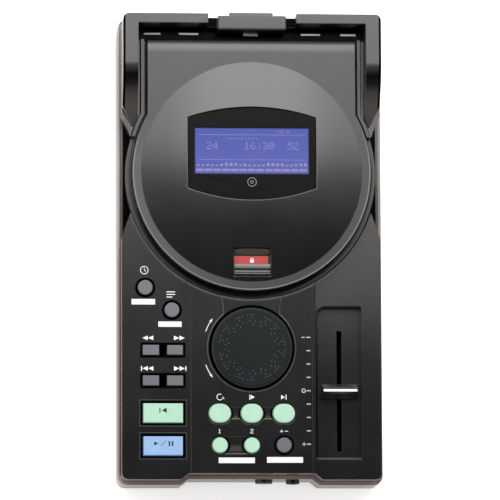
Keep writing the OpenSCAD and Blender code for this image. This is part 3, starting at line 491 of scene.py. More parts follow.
def outer_walls(paint):
    """Painted reflection of what the player stands on, on the lower part of the outer walls, half
    as strong on the right side.
    """
    outer = ((abs(paint.x) > SIDE_X - 0.5) * 0.45).most(paint.y < FRONT_Y + 4.2)
    return outer * paint.z.fall(25.0, 38.5) * (1.0 - right_side(paint) * 0.5)


def right_side(paint):
    """The side away from the light strip."""
    return paint.x > SIDE_X - 1.5


# Front edges of the cover and panel, where the painted edge highlight is weaker.
def front_edge(paint):
    return (paint.y < FRONT_Y + 4.8) * 0.6


# Outer sides of the rails, which take painted shade and no painted edge highlight.
def rail_sides(paint):
    return abs(paint.x) > SIDE_X - 1.6


def under_cover(paint):
    """Top of the bottom case where the cover stands over it, and part of the dimmer side: there the
    case's painted reflection is held back, which reads as painted shade.
    """
    covered = abs(paint.x).fall(SIDE_X + 0.2, SIDE_X + 1.2) * (paint.y > FRONT_Y + 3.4)
    return covered.most(right_side(paint) * 0.5)


def panel_painted_shade(paint):
    """Painted shade in the cup round the jog wheel and in the gaps and holes of the keys."""
    cup = (paint.around(0.0, JOG_Y) < JOG_CUP_R) * (paint.z < DECK - 0.3)
    round_keys = key_gaps(paint, 0.45, *OVAL_KEYS, *HOT_KEYS, "tempo_key")
    return cup.most(paint.z < DECK - 1.2).most(round_keys)


def panel_lines(paint):
    """Painted highlights in the hollows between the lit keys, which catch light at their front,
    with the painted wall reflection and groove highlight.
    """
    tone = outer_walls(paint).most(groove_ring(paint))
    for first, last, shift, reach in (("loop_key", "loop_out_key", 2.4, 1.9),
                                      ("hot_cue_1_key", "hot_cue_2_key", 1.9, 2.9)):
        start, end = middle(first), middle(last)
        row = paint.within(start.x, end.x, start.y - 5.0, start.y + 5.0)
        off = abs(paint.y - (start.y - shift))
        tone = tone.most(row * off.fall(0.2, reach) * 0.75 * (paint.z > DECK - 1.2))
    return tone * (1.0 - key_gaps(paint, 0.9, *OVAL_KEYS, *HOT_KEYS))


def collar_painted_shade(paint):
    """Painted shade on the top of the disc well's collar, in the gap round the lid."""
    return paint.z > high("disc_well").z - 0.9


def lip_painted_shade(paint):
    """Painted shade on the lip of the liner down in the groove. Its underside stays plain satin."""
    return paint.z > low("lid_liner").z + 0.8


def rail_painted_shade(paint):
    """Painted shade on the low bars beside the bridge, on the outer edges, and in a band where the
    rails bend down.
    """
    side = abs(paint.x)
    upper = paint.z > DECK + 5.0
    bars = (side > 20.2) * (side < 25.6) * (paint.z < DECK + 9.2)
    band = paint.y.span(89.0, 95.0) * paint.y.fall(98.5, 102.0) * upper * 0.75
    return bars.most(rail_sides(paint) * upper).most(band)


def rail_slopes(paint):
    """Painted sheen on the slopes of the rails in front of the bend."""
    inner = paint.y.fall(80.0, 94.0) * (abs(paint.x) < SIDE_X - 1.6)
    return inner * (paint.z > DECK + 1.0) * 0.5


def lid_painted_shade(paint):
    """Painted shade on the rear edge of the lid, which mirrors the dark bridge, and on the flanks
    of the dome.
    """
    flanks = abs(paint.x).span(18.0, 58.0) * (paint.around(0.0, LID_Y) < DOME_R)
    flanks = flanks * paint.y.span(LID_Y - 30.0, LID_Y + 10.0) * 0.34
    return (paint.y.span(LID_REAR - 3.4, LID_REAR - 0.7) * 0.85).most(flanks)


def lid_lines(paint):
    """Painted highlights where the lid catches light: window edge, rim, rear band and left front of
    the flange.
    """
    radius = paint.around(0.0, LID_Y)
    front = paint.y.fall(LID_Y + 5.0, LID_Y + 30.0)
    rim = radius.span(LID_R - 1.1, LID_R - 0.5) * front * 1.6
    rear = paint.y.span(LID_REAR - 8.0, LID_REAR - 4.4)
    rear = rear * paint.y.fall(LID_REAR - 3.4, LID_REAR - 2.0)
    left = radius.span(DOME_R, DOME_R + 0.6) * (paint.x + 48.0).fall(0.0, 46.0) * front * 0.28
    return window_line(paint).most(rim).most(rear).most(left)


def window_line(paint):
    """Painted highlight on the edge of the opening round the display, bright at the front."""
    close = paint.rim(1.5)[1]
    near = paint.within(-WINDOW_X - 1.6, WINDOW_X + 1.6, WINDOW_Y - 1.6, WINDOW_Y + 30.0)
    return close * near * (1.0 - (paint.y - WINDOW_Y).span(8.0, 26.0) * 0.7) * 2.2


def slider_front(paint):
    """Front part of the lock slider, which leans away from the light and takes little painted edge
    highlight.
    """
    return (paint.y - low("lock_slider").y).fall(2.2, 3.6) * 0.85


def slider_bands(paint):
    """Painted highlights: rear band and front line of the lock slider."""
    depth = paint.y - low("lock_slider").y
    return (depth.span(3.4, 4.2) * 1.5).most((depth < 0.45) * 0.9)


def lid_flange(paint):
    """Flat ring round the dome, duller than the dome."""
    return paint.around(0.0, LID_Y).span(DOME_R - 0.3, DOME_R + 0.4)


def case_finish(name, colour):
    """Bottom case: warm grey moulding, glossier than the cover, dull where it meets the table. Its
    upward faces take the case edge tone, a painted reflection of the pale floor, except under the
    cover.
    """
    return moulded(name, colour, 0.27, grain=3.4, depth=0.01, mottle=0.06,
                   rolled=bpy.context.scene.player_finish.case_edge_highlight, start=1.5, spare=under_cover,
                   dull=(lambda paint: paint.z.fall(2.6, 6.0), 0.5))


def metal(name, colour, gloss, along=(1.0, 1.0, 1.0), tarnish=(0.35, 0.33, 0.3)):
    """Bare or plated metal with drawing lines, dulled patches and bright edges."""
    paint = Paint(name)
    base = linear(colour)
    rounded, rim = paint.rim(0.2)
    lines = paint.noise(3.5, 3.0, 0.6, along)
    patch = paint.noise(0.12, 3.0, 0.6).span(0.45, 0.75)
    shade = paint.layers(
        base, (patch * 0.45, linear(tarnish)), (rim * 0.5, lighter(base, 0.4)),
        (lines.span(0.35, 0.65) * 0.18, darker(base, 0.4)))
    return paint.done(
        Base_Color=shade, Roughness=gloss + patch * 0.16 + (lines - 0.5) * 0.1,
        Metallic=1.0 - patch * 0.1, Normal=paint.bump(lines, 0.0015, rounded))


def rubber(name, colour):
    """Moulded rubber with dust in its pores and paler rubbed edges."""
    paint = Paint(name)
    rounded, rim = paint.rim(0.5)
    fine = paint.noise(3.0, 4.0, 0.7)
    dusty = paint.noise(0.3, 3.0).span(0.4, 0.75)
    shade = paint.layers(linear(colour), (dusty * 0.4, linear((0.3, 0.29, 0.28))),
                         (rim * 0.3, linear((0.34, 0.33, 0.32))))
    return paint.done(Base_Color=shade, Roughness=0.7 + (fine - 0.5) * 0.2, IOR=1.5,
                      Normal=paint.bump(fine, 0.03, rounded))


def lit_key(name, colour, deep):
    """Translucent key with a lamp behind it: clear middle, fine frosting, a painted highlight on
    the rim of its top, painted shade on its sides and on its rounded edges.
    """
    paint = Paint(name)
    rounded, rim = paint.rim(0.7)
    frost = paint.noise(2.4, 3.0, 0.7)
    cloud = paint.noise(0.22)
    bright = linear(colour)
    deep = linear(deep)
    top = paint.z.span(KEY_TOP - 0.7, KEY_TOP - 0.15)
    shade = paint.layers(
        bright, (cloud.span(0.3, 0.7) * 0.12, deep),
        (frost.span(0.35, 0.65) * 0.1, lighter(bright, 0.3)),
        # Painted highlight on the rim of the top, painted shade on the sides and rounded edges.
        (rim * top * 0.45, lighter(bright, 0.55)), ((1.0 - top) * 0.8, darker(deep, 0.5)),
        (paint.rolled(0.86) * 0.75, darker(deep, 0.7)))
    return paint.lit(shade, 0.96, Roughness=0.42 + (frost - 0.5) * 0.16, IOR=1.48,
                     Specular_IOR_Level=0.25, Normal=paint.bump(frost, 0.004, rounded))


def ink(name, colour, shine=0.55):
    """Screen-printed ink: slightly uneven cover and fine pinholes."""
    paint = Paint(name)
    base = linear(colour)
    fine = paint.noise(5.0, 3.0, 0.7)
    shade = paint.mix(paint.noise(1.1).span(0.62, 0.8) * 0.2, base, darker(base, 0.4))
    return paint.done(Base_Color=shade, Roughness=shine + (fine - 0.5) * 0.2, IOR=1.45,
                      Specular_IOR_Level=0.3, Normal=paint.bump(fine, 0.004))


def glowing_ink(name, colour):
    """Segments of the display, lit from behind."""
    paint = Paint(name)
    base = linear(colour)
    cloud = paint.noise(0.3)
    shade = paint.mix(cloud.span(0.3, 0.7) * 0.2, base, darker(base, 0.3))
    return paint.lit(shade, 0.95, Roughness=0.3 + cloud * 0.1, IOR=1.5, Specular_IOR_Level=0.1)


def board(name):
    """Green board: copper tracks under solder resist and tinned pads."""
    paint = Paint(name)
    rounded, rim = paint.rim(0.2)
    row = (paint.y * 0.42 + paint.noise(0.05, 0.0) * 3.0).fraction()
    column = (paint.x * 0.36 + paint.noise(0.045, 0.0) * 3.0).fraction()
    track = ((row > 0.3) * (row < 0.52)).most((column > 0.4) * (column < 0.6))
    pads = paint.cells(0.24).fall(0.16, 0.19)
    shade = paint.layers(
        linear((0.03, 0.17, 0.10)), (track * 0.6, linear((0.07, 0.28, 0.17))),
        (pads, linear((0.55, 0.54, 0.5))), (rim * 0.5, linear((0.4, 0.38, 0.25))))
    fine = paint.noise(2.0, 3.0)
    return paint.done(
        Base_Color=shade, Metallic=pads * 0.8, Roughness=0.34 + fine * 0.14, IOR=1.5,
        Normal=paint.bump(track * 0.5 + pads + fine * 0.2, 0.02, rounded))


def lcd(name, colour):
    """Lit liquid crystal: pixel grid, a lamp that is brighter low down, a darker frame line."""
    paint = Paint(name)
    pitch = 0.9
    column = (paint.x / pitch).fraction()
    row = (paint.y / pitch).fraction()
    grid = abs(column - 0.5).span(0.38, 0.48).most(abs(row - 0.5).span(0.38, 0.48))
    up = paint.y - LCD_Y
    cloud = paint.noise(0.05)
    base = linear(colour)
    lamp = up.span(-13.0, 13.0) * 0.5 + (cloud - 0.5) * 0.3
    side = abs(paint.x).span(32.2, 32.9).most(abs(up).span(12.5, 13.2))
    shade = paint.layers(lighter(base, 0.03), (lamp, darker(base, 0.08)),
                         (grid * 0.14, darker(base, 0.3)), (side * 0.35, darker(base, 0.65)))
    return paint.lit(shade, 0.95, Roughness=0.22 + cloud * 0.08, IOR=1.5,
                     Specular_IOR_Level=0.02, Normal=paint.bump(grid, 0.004))


def glass(name, colour):
    """Coated objective lens."""
    paint = Paint(name)
    ring = paint.around(0.0, LENS_Y).span(2.3, 2.7)
    swirl = paint.noise(0.9)
    shade = paint.layers(linear(colour), (ring, linear((0.12, 0.12, 0.13))),
                         (swirl * 0.25, linear((0.35, 0.2, 0.6))))
    return paint.done(
        Base_Color=shade, Roughness=0.04 + ring * 0.4 + swirl * 0.04, Coat_Weight=1.0 - ring,
        Coat_Roughness=0.03, IOR=1.55, Normal=paint.bump(swirl, 0.002))


def socket_finish(name):
    """Phono socket: moulded body inside, plated collar, white insulator round the contact."""
    paint = Paint(name)
    rounded, rim = paint.rim(0.2)
    radius = None
    for x in JACKS_X:
        dx = paint.x - x
        dz = paint.z - JACK_Z
        away = (dx * dx + dz * dz).root()
        radius = away if radius is None else radius.least(away)
    core = radius < 3.32
    inside = paint.y < REAR_Y - 2.25
    dull = paint.noise(0.7, 3.0).span(0.4, 0.7)
    plate = paint.mix(dull * 0.4, linear((0.78, 0.75, 0.68)), linear((0.5, 0.47, 0.42)))
    white = paint.mix(dull * 0.15, linear((0.7, 0.7, 0.68)), linear((0.5, 0.49, 0.46)))
    shade = paint.mix(inside, paint.mix(core, plate, white), linear((0.08, 0.08, 0.085)))
    return paint.done(
        Base_Color=shade, Metallic=(1.0 - core) * (1.0 - inside),
        Roughness=0.24 + core * 0.2 + inside * 0.2 + dull * 0.12 + rim * 0.05,
        Normal=paint.bump(paint.noise(6.0), 0.004, rounded))


def floor_finish(name, colour, glow):
    paint = Paint(name)
    weave = paint.noise(0.02, 3.0)
    base = linear(colour)
    shade = paint.mix(weave.span(0.3, 0.7), darker(base, 0.005), base)
    return paint.done(Base_Color=shade, Emission_Color=shade, Emission_Strength=glow, IOR=1.45,
                      Roughness=0.8 + weave * 0.1, Specular_IOR_Level=0.2)


def recipes(f, stage):
    """Function, values and named options of each finish, from the settings."""
    pale_edge_highlight = lighter(f.edges, 0.1)
    # pit masks here are painted shade; rolled tones and lines are painted highlights, sheen and
    # reflections.
    return {
        "black_gloss": (moulded, f.casing, 0.22, dict(
            grain=7.0, depth=0.003, pit=pod_painted_shade, rolled=f.cover_edge_highlight, lines=pod_painted_highlights,
            spare=front_edge)),
        "panel_gloss": (moulded, f.casing, 0.22, dict(
            grain=7.0, depth=0.003, pit=panel_painted_shade, rolled=f.edges, lines=panel_lines,
            spare=front_edge)),
        "black_matte": (case_finish, f.case),
        "black_satin": (moulded, f.rails, 0.34, dict(
            grain=4.0, depth=0.008, edge=0.6, pit=rail_painted_shade, rolled=f.edges, start=0.82,
            spare=rail_sides, lines=rail_slopes)),
        "well_satin": (moulded, BLACK, 0.36, dict(
            grain=3.2, depth=0.012, dusty=0.4, pit=collar_painted_shade, rolled=pale_edge_highlight)),
        "lid_gloss": (moulded, f.lid, 0.21, dict(
            grain=6.0, depth=0.003, dull=(lid_flange, 0.38), pit=lid_painted_shade, lines=lid_lines,
            rolled=lighter(f.cover_edge_highlight, 0.08), spare=lambda paint: paint.y > LID_REAR - 4.0)),
        "lip_satin": (moulded, BLACK, 0.34, dict(
            depth=0.006, pit=lip_painted_shade, rolled=pale_edge_highlight)),
        "bezel_gloss": (moulded, f.bezel, 0.3, dict(
            grain=8.0, depth=0.0015, mottle=0.05, specular=0.04, rolled=darker(f.edges, 0.5))),
        "panel_grey": (moulded, (0.16, 0.16, 0.17), 0.45, dict(grain=3.0, depth=0.02)),
        # The grey keys' rolled tone is painted shade on their rounded edges.
        "key_grey": (moulded, f.grey_keys, 0.44, dict(
            grain=4.5, depth=0.012, mottle=0.06, rolled=(0.05, 0.05, 0.055))),
        "key_green": (lit_key, f.green_keys, (0.45, 0.74, 0.55)),
        "key_blue": (lit_key, f.blue_keys, (0.3, 0.52, 0.86)),
        "jog_plastic": (moulded, f.jog, 0.37, dict(
            grain=3.4, depth=0.02, edge=0.5, specular=0.15, rolled=(0.16, 0.18, 0.18))),
        "jog_dot": (moulded, (0.23, 0.28, 0.29), 0.4),
        "fader_plastic": (moulded, (0.12, 0.11, 0.105), 0.3, dict(depth=0.006, edge=0.4)),
        "slider_plastic": (moulded, (0.05, 0.07, 0.065), 0.3, dict(
            depth=0.006, rolled=(0.42, 0.42, 0.41), spare=slider_front, lines=slider_bands)),
        "ramp_plastic": (moulded, (0.19, 0.165, 0.14), 0.42, dict(
            depth=0.01, rolled=(0.25, 0.22, 0.19))),
        # Painted shade: the fader body shows through the slot black and without reflection.
        "slot_painted_shade": (moulded, BLACK, 0.42, dict(depth=0.01, pit=lambda paint: paint.z > -1.0)),
        "hub_plastic": (moulded, (0.2, 0.2, 0.21), 0.4, dict(grain=4.0, depth=0.01)),
        "sled_plastic": (moulded, (0.13, 0.13, 0.14), 0.5, dict(grain=3.0, depth=0.02)),
        "gear_plastic": (moulded, (0.68, 0.67, 0.62), 0.4, dict(
            grain=3.0, depth=0.01, mottle=0.04, edge=0.2)),
        "switch_black": (moulded, BLACK, 0.42, dict(depth=0.01)),
        "grey_plastic": (moulded, (0.5, 0.5, 0.51), 0.42, dict(
            grain=4.0, depth=0.01, mottle=0.05)),
        "damper_rubber": (rubber, (0.1, 0.1, 0.11)),
        "foot_rubber": (rubber, (0.08, 0.08, 0.085)),
        "motor_can": (metal, (0.56, 0.56, 0.57), 0.3, (0.4, 0.4, 4.0)),
        "zinc_steel": (metal, (0.6, 0.62, 0.62), 0.34, (0.15, 2.0, 1.0), (0.4, 0.4, 0.34)),
        "polished_steel": (metal, (0.8, 0.8, 0.81), 0.14, (1.0, 0.2, 1.0)),
        "screw_steel": (metal, (0.62, 0.62, 0.6), 0.3),
        "brass": (metal, (0.76, 0.62, 0.33), 0.26, (1.0, 1.0, 2.0), (0.42, 0.32, 0.17)),
        "socket_metal": (socket_finish,),
        "board_green": (board,),
        "lens_glass": (glass, (0.2, 0.3, 0.6)),
        "display_glass": (lcd, f.display),
        "display_marks": (glowing_ink, (0.60, 0.545, 0.77)),
        "white_ink": (ink, f.marks),
        "grey_ink": (ink, (0.42, 0.42, 0.43)),
        "scale_ink": (ink, (0.64, 0.64, 0.63)),
        "rear_ink": (ink, (0.93, 0.92, 0.91)),
        "dark_ink": (ink, (0.09, 0.12, 0.15)),
        "red_field": (ink, f.lock_field, 0.4),
        "fader_line": (ink, (0.93, 0.93, 0.92), 0.3),
        "floor": (floor_finish, stage.floor, stage.floor_glow),
    }


MADE = {}


def finished(name):
    """The material of a finish, made when it is first asked for."""
    if name not in MADE:
        scene = bpy.context.scene
        make, *values = recipes(scene.player_finish, scene.player_stage)[name]
        options = values.pop() if values and isinstance(values[-1], dict) else {}
        MADE[name] = make(name, *values, **options)
    return MADE[name]


# ---------- pieces ----------

def add_piece(name, mesh, finish, body, replaces=()):
    """Puts a mesh in the scene with its finish, and makes it ride on its body."""
    piece = bpy.data.objects.new(name, mesh)
    bpy.context.scene.collection.objects.link(piece)
    mesh.materials.clear()
    mesh.materials.append(finished(finish))
    if replaces:
        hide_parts(*replaces)
    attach(piece, body)
    return piece


def finish_nodes(*names, finish=None):
    """Gives carried-over CAD nodes their finish."""
    for name in names:
        piece = NODE[name]
        material = finished(finish or SLOT_OF[name])
        if not piece.material_slots:
            piece.data.materials.append(material)
        for slot in piece.material_slots:
            slot.material = material


def smoothed(mesh):
    mesh.polygons.foreach_set("use_smooth", [True] * len(mesh.polygons))
    return mesh


def mesh_from(bm, name):
    """Turns mesh code into a mesh, and frees it."""
    mesh = bpy.data.meshes.new(name)
    bm.to_mesh(mesh)
    bm.free()
    return mesh


def closed_mesh_from(bm, name):
    bmesh.ops.recalc_face_normals(bm, faces=bm.faces)
    return mesh_from(bm, name)


def clean_mesh(node):
    """A welded copy of a CAD node's mesh, with its flat faces joined."""
    bm = bmesh.new()
    bm.from_mesh(NODE[node].data)
    bmesh.ops.remove_doubles(bm, verts=bm.verts, dist=0.000002)
    bmesh.ops.dissolve_limit(
        bm, angle_limit=math.radians(0.1), verts=bm.verts, edges=bm.edges,
        use_dissolve_boundaries=False)
    bm.verts.index_update()
    points = [v.co.copy() for v in bm.verts]
    faces = [[v.index for v in f.verts] for f in bm.faces]
    bm.free()
    mesh = bpy.data.meshes.new(node + "_soft")
    mesh.from_pydata(points, [], faces)
    mesh.validate()
    return smoothed(mesh)


def add_rounding(piece, width, segments, angle, weighted=False):
    rounding = piece.modifiers.new("rounding", "BEVEL")
    rounding.width = width
    rounding.segments = segments
    rounding.limit_method = "WEIGHT" if weighted else "ANGLE"
    rounding.angle_limit = math.radians(angle)
    rounding.miter_outer = "MITER_ARC"
    rounding.use_clamp_overlap = not weighted


def add_shading(piece):
    piece.modifiers.new("shading", "WEIGHTED_NORMAL").keep_sharp = True


def weight_edges(mesh, angle, test):
    """Marks the edges sharper than angle whose points pass the test, for the wide rounding."""
    normals = {}
    for face in mesh.polygons:
        for key in face.edge_keys:
            normals.setdefault(key, []).append(face.normal)
    weights = mesh.attributes.new("bevel_weight_edge", "FLOAT", "EDGE")
    for edge in mesh.edges:
        sides = normals.get(tuple(sorted(edge.vertices)), ())
        sharp = len(sides) == 2 and sides[0].dot(sides[1]) < math.cos(math.radians(angle))
        weights.data[edge.index].value = float(
            sharp and all(test(mesh.vertices[v].co / MM) for v in edge.vertices))


def softened(node, width, segments, angle=30.0, finish=None, crease=None, bend=None, flat=False):
    """Stands a copy of a CAD node with rounded edges in for the node.

    crease marks the points of edges that stay sharp. bend gives a test of the points of edges
    that take a wide rounding first, and its width. flat leaves the faces unsmoothed.
    """
    mesh = clean_mesh(node)
    if crease:
        for edge in mesh.edges:
            if all(crease(mesh.vertices[v].co / MM) for v in edge.vertices):
                edge.use_edge_sharp = True
    slot = SLOT_OF[node]
    piece = add_piece(node + "_piece", mesh, finish or slot, BODY_OF[node], (node,))
    if bend:
        weight_edges(mesh, angle, bend[0])
        add_rounding(piece, bend[1], 10, angle, weighted=True)
    add_rounding(piece, width, segments, angle)
    if flat:
        mesh.polygons.foreach_set("use_smooth", [False] * len(mesh.polygons))
    else:
        add_shading(piece)


# ---------- flat marks ----------

def boxes(*rows):
    """Rectangles, each given by its middle, its width and its depth."""
    made = []
    for x, y, w, d in rows:
        w, d = w / 2, d / 2
        made.append([(x - w, y - d), (x + w, y - d), (x + w, y + d), (x - w, y + d)])
    return made


def round_box(x, y, w, d, r, n):
    """A box with rounded corners, each of n stretches."""
    points = []
    w, d = w / 2 - r, d / 2 - r
    for side, end, turn in ((w, d, 0), (-w, d, 90), (-w, -d, 180), (w, -d, 270)):
        for i in range(n + 1):
            t = math.radians(turn + 90 * i / n)
            points.append((x + side + r * math.cos(t), y + end + r * math.sin(t)))
    return [points]


def stroke(points, w):
    """A line of width w through the points, as one quad for each stretch."""
    made = []
    for (x0, y0), (x1, y1) in zip(points, points[1:]):
        reach = math.hypot(x1 - x0, y1 - y0)
        nx, ny = -(y1 - y0) / reach * w / 2, (x1 - x0) / reach * w / 2
        made.append(
            [(x0 - nx, y0 - ny), (x1 - nx, y1 - ny), (x1 + nx, y1 + ny), (x0 + nx, y0 + ny)])
    return made


def arc_mark(x, y, r, start, end, w, n):
    """A ring segment of width w round x, y, angles in degrees, as n quads."""
    made = []
    inner, outer = r - w / 2, r + w / 2
    for i in range(n):
        a, b = (math.radians(start + (end - start) * k / n) for k in (i, i + 1))
        made.append([(x + reach * math.cos(t), y + reach * math.sin(t))
                     for reach, t in ((inner, a), (outer, a), (outer, b), (inner, b))])
    return made


def arrow(x, y, w, d, way=1):
    """A solid triangle that points to +X, or to -X with way -1."""
    points = [(x - way * w / 2, y - d / 2), (x + way * w / 2, y), (x - way * w / 2, y + d / 2)]
    return [points if way > 0 else points[::-1]]


def turned(marks, angle, x, y):
    c, s = math.cos(math.radians(angle)), math.sin(math.radians(angle))
    return [[(x + (px - x) * c - (py - y) * s, y + (px - x) * s + (py - y) * c) for px, py in m]
            for m in marks]


# Rows of dots from the top down
DIGITS = {
    "0": "01110 10001 10011 10101 11001 10001 01110",
    "1": "00100 01100 00100 00100 00100 00100 01110",
    "2": "01110 10001 00001 00110 01000 10000 11111",
    "3": "11110 00001 00001 01110 00001 00001 11110",
    "4": "00010 00110 01010 10010 11111 00010 00010",
    "5": "11111 10000 11110 00001 00001 10001 01110",
    "6": "00110 01000 10000 11110 10001 10001 01110",
    ":": "00000 00100 00100 00000 00100 00100 00000",
    "-": "00000 00000 00000 11111 00000 00000 00000",
    "+": "00000 00100 00100 11111 00100 00100 00000",
    ".": "00000 00000 00000 00000 00000 01100 01100",
}


def dot_digits(text, x, y, pitch, fill=0.84):
    """Digits as dot-matrix squares, from x to the right, standing on y."""
    made = []
    side = pitch * fill
    for i, sign in enumerate(text):
        for j, row in enumerate(DIGITS[sign].split()):
            for k, on in enumerate(row):
                if on == "1":
                    made += boxes((x + (i * 6 + k) * pitch, y + (6 - j) * pitch, side, side))
    return made


def add_marks(name, marks, z, finish, body, height=None):
    """Thin plates on height z, one for each outline, all in millimetres but their own height."""
    height = height or bpy.context.scene.player_shape.ink
    bm = bmesh.new()
    for outline in marks:
        foot = [bm.verts.new((x * MM, y * MM, z * MM)) for x, y in outline]
        head = [bm.verts.new((x * MM, y * MM, z * MM + height)) for x, y in outline]
        bm.faces.new(head)
        bm.faces.new(foot[::-1])
        for i in range(len(outline)):
            j = (i + 1) % len(outline)
            bm.faces.new((foot[i], foot[j], head[j], head[i]))
    add_piece(name, closed_mesh_from(bm, name), finish, body)


# ---------- operators ----------

class PLAYER_OT_casing(bpy.types.Operator):
    """Bottom case, cover and middle panel with moulded edges, rear panel, feet and screws"""
    bl_idname = "player.casing"
    bl_label = "Casing"

    def execute(self, context):
        shape = context.scene.player_shape
        softened("top_cover", shape.cover_round, 3)
        softened("control_panel", shape.cover_round * 0.7, 3, finish="panel_gloss")
        softened("bottom_case", shape.case_round, 4)
        finish_nodes("rear_panel", "feet", "case_screws")
        return {"FINISHED"}


class PLAYER_OT_rails(bpy.types.Operator):
    """Grip rails and the bridge between them"""
    bl_idname = "player.rails"
    bl_label = "Grip rails"

    def execute(self, context):
        shape = context.scene.player_shape
        top = high("left_rail").z
        rear = max(p.co.y for p in NODE["left_rail"].data.vertices) / MM
        slope_start = rear - RAIL_FLAT

        def slope_line(point):
            return abs(point.z - top) < 0.1 and abs(point.y - slope_start) < 0.4

        for node in ("left_rail", "right_rail"):
            softened(node, shape.rail_round, 4, angle=22.0, bend=(slope_line, shape.rail_bend))
        softened("rear_bridge", shape.rail_round * 0.6, 3)
        return {"FINISHED"}


class PLAYER_OT_lid(bpy.types.Operator):
    """Lid shell with its shallow dome, lid liner and hinge pins"""
    bl_idname = "player.lid"
    bl_label = "Lid"

    def execute(self, context):
        shape = context.scene.player_shape

        def dome_ring(point):
            radius = math.hypot(point.x, point.y - LID_Y)
            return abs(radius - DOME_R) < 0.1 and abs(point.z - LID_TOP) < 0.1

        softened("lid_shell", shape.lid_round, 4, crease=dome_ring)
        softened("lid_liner", shape.lid_round * 0.5, 3, finish="lip_satin")
        finish_nodes("hinge_pins")
        return {"FINISHED"}


class PLAYER_OT_display(bpy.types.Operator):
    """Display bezel, lit display and its plain figures and bars"""
    bl_idname = "player.display"
    bl_label = "Display"

    def execute(self, context):
        softened("display_bezel", SMALL_ROUND, 3, flat=True)
        finish_nodes("display_module")
        figures = []
        for text, x in (("24", -26.0), ("16:30", -4.0), ("52", 21.0)):
            figures += dot_digits(text, x, LCD_Y + 1.2, 0.6)
        add_marks("display_figures", figures, LCD_FACE, "display_marks", "lid", FILM * 1.5)
        lines = boxes((0, LCD_Y + 9.4, 62.0, 0.28), (0, LCD_Y - 5.2, 62.0, 0.28))
        lines += dot_digits("+0.0", 15.0, LCD_Y + 10.4, 0.3)
        random.seed(4)
        for i in range(24):
            tall = 0.6 + 1.6 * random.random()
            lines += boxes((-31.0 + i * 2.7, LCD_Y - 8.9 + tall / 2, 1.7, tall))
        lines += boxes(*((-30.2 + i * 5.0, LCD_Y - 11.2, 4.4, 1.5) for i in range(13)))
        lines += boxes(*((-14.0 + i * 2.1, LCD_Y + 7.2, 1.0, 0.5) for i in range(9)))
        add_marks("display_bars", lines, LCD_FACE, "display_marks", "lid", FILM)
        y = LCD_Y - 18.2
        rings = arc_mark(0, y, 2.5, 0, 360, 0.4, 40) + arc_mark(0, y, 0.8, 0, 360, 0.4, 24)
        add_marks("bezel_disc_mark", rings, BEZEL_TOP, "grey_ink", "lid")
        return {"FINISHED"}


class PLAYER_OT_lock(bpy.types.Operator):
    """Lock slider with its red tongue, the red field beside it and the curved ramp at the rear"""
    bl_idname = "player.lock"
    bl_label = "Lid lock"

    def execute(self, context):
        wide_edge = (lambda point: point.z > LID_TOP - 0.75, 0.00032)
        softened("lock_slider", 0.00012, 2, bend=wide_edge)
        rear = high("lock_slider").y
        slider = BODY_OF["lock_slider"]
        field = boxes((-6.3, rear + 2.5, 8.3, 4.7), (5.7, rear + 2.5, 7.1, 4.7))
        add_marks("lock_field", field, LOCK_FLOOR, "red_field", "lid", FILM)
        tongue = boxes((0, rear + 2.0, 4.2, 5.6))
        add_marks("lock_tongue", tongue, LOCK_FLOOR, "red_field", slider, FILM)
        y = rear + 2.3
        padlock = boxes((0, y - 0.4, 2.2, 1.6)) + arc_mark(0, y + 0.5, 0.75, 0, 180, 0.35, 12)
        add_marks("lock_mark", padlock, LOCK_FLOOR + FILM / MM, "white_ink", slider, FILM / 2)
        rows = []
        for t in (i / 8 for i in range(9)):
            z = LOCK_FLOOR + 0.05 + 1.7 * t ** 1.6
            across = (j / 8 - 1.0 for j in range(17))
            rows.append([(10.6 * s, rear + 5.2 + 4.1 * t - 0.9 * s * s * t, z) for s in across])
        ramp = closed_ramp("lock_ramp", rows, LOCK_FLOOR + 0.04)
        add_piece("lock_ramp", ramp, "ramp_plastic", "lid")
        return {"FINISHED"}


def closed_ramp(name, rows, floor):
    """A surface through rows of points, closed down to a flat floor."""
    bm = bmesh.new()
    upper = [[bm.verts.new(Vector(p) * MM) for p in row] for row in rows]
    lower = [[bm.verts.new(Vector((p[0], p[1], floor)) * MM) for p in row] for row in rows]
    for sheet in (upper, lower):
        for a, b in zip(sheet, sheet[1:]):
            for i in range(len(a) - 1):
                bm.faces.new((a[i], a[i + 1], b[i + 1], b[i]))
    last, end = len(rows) - 1, len(rows[0]) - 1
    ring = [(r, 0) for r in range(last + 1)] + [(last, c) for c in range(1, end + 1)]
    ring += [(r, end) for r in range(last - 1, -1, -1)] + [(0, c) for c in range(end - 1, 0, -1)]
    for (a, b), (c, d) in zip(ring, ring[1:] + ring[:1]):
        bm.faces.new((upper[a][b], upper[c][d], lower[c][d], lower[a][b]))
    return smoothed(closed_mesh_from(bm, name))


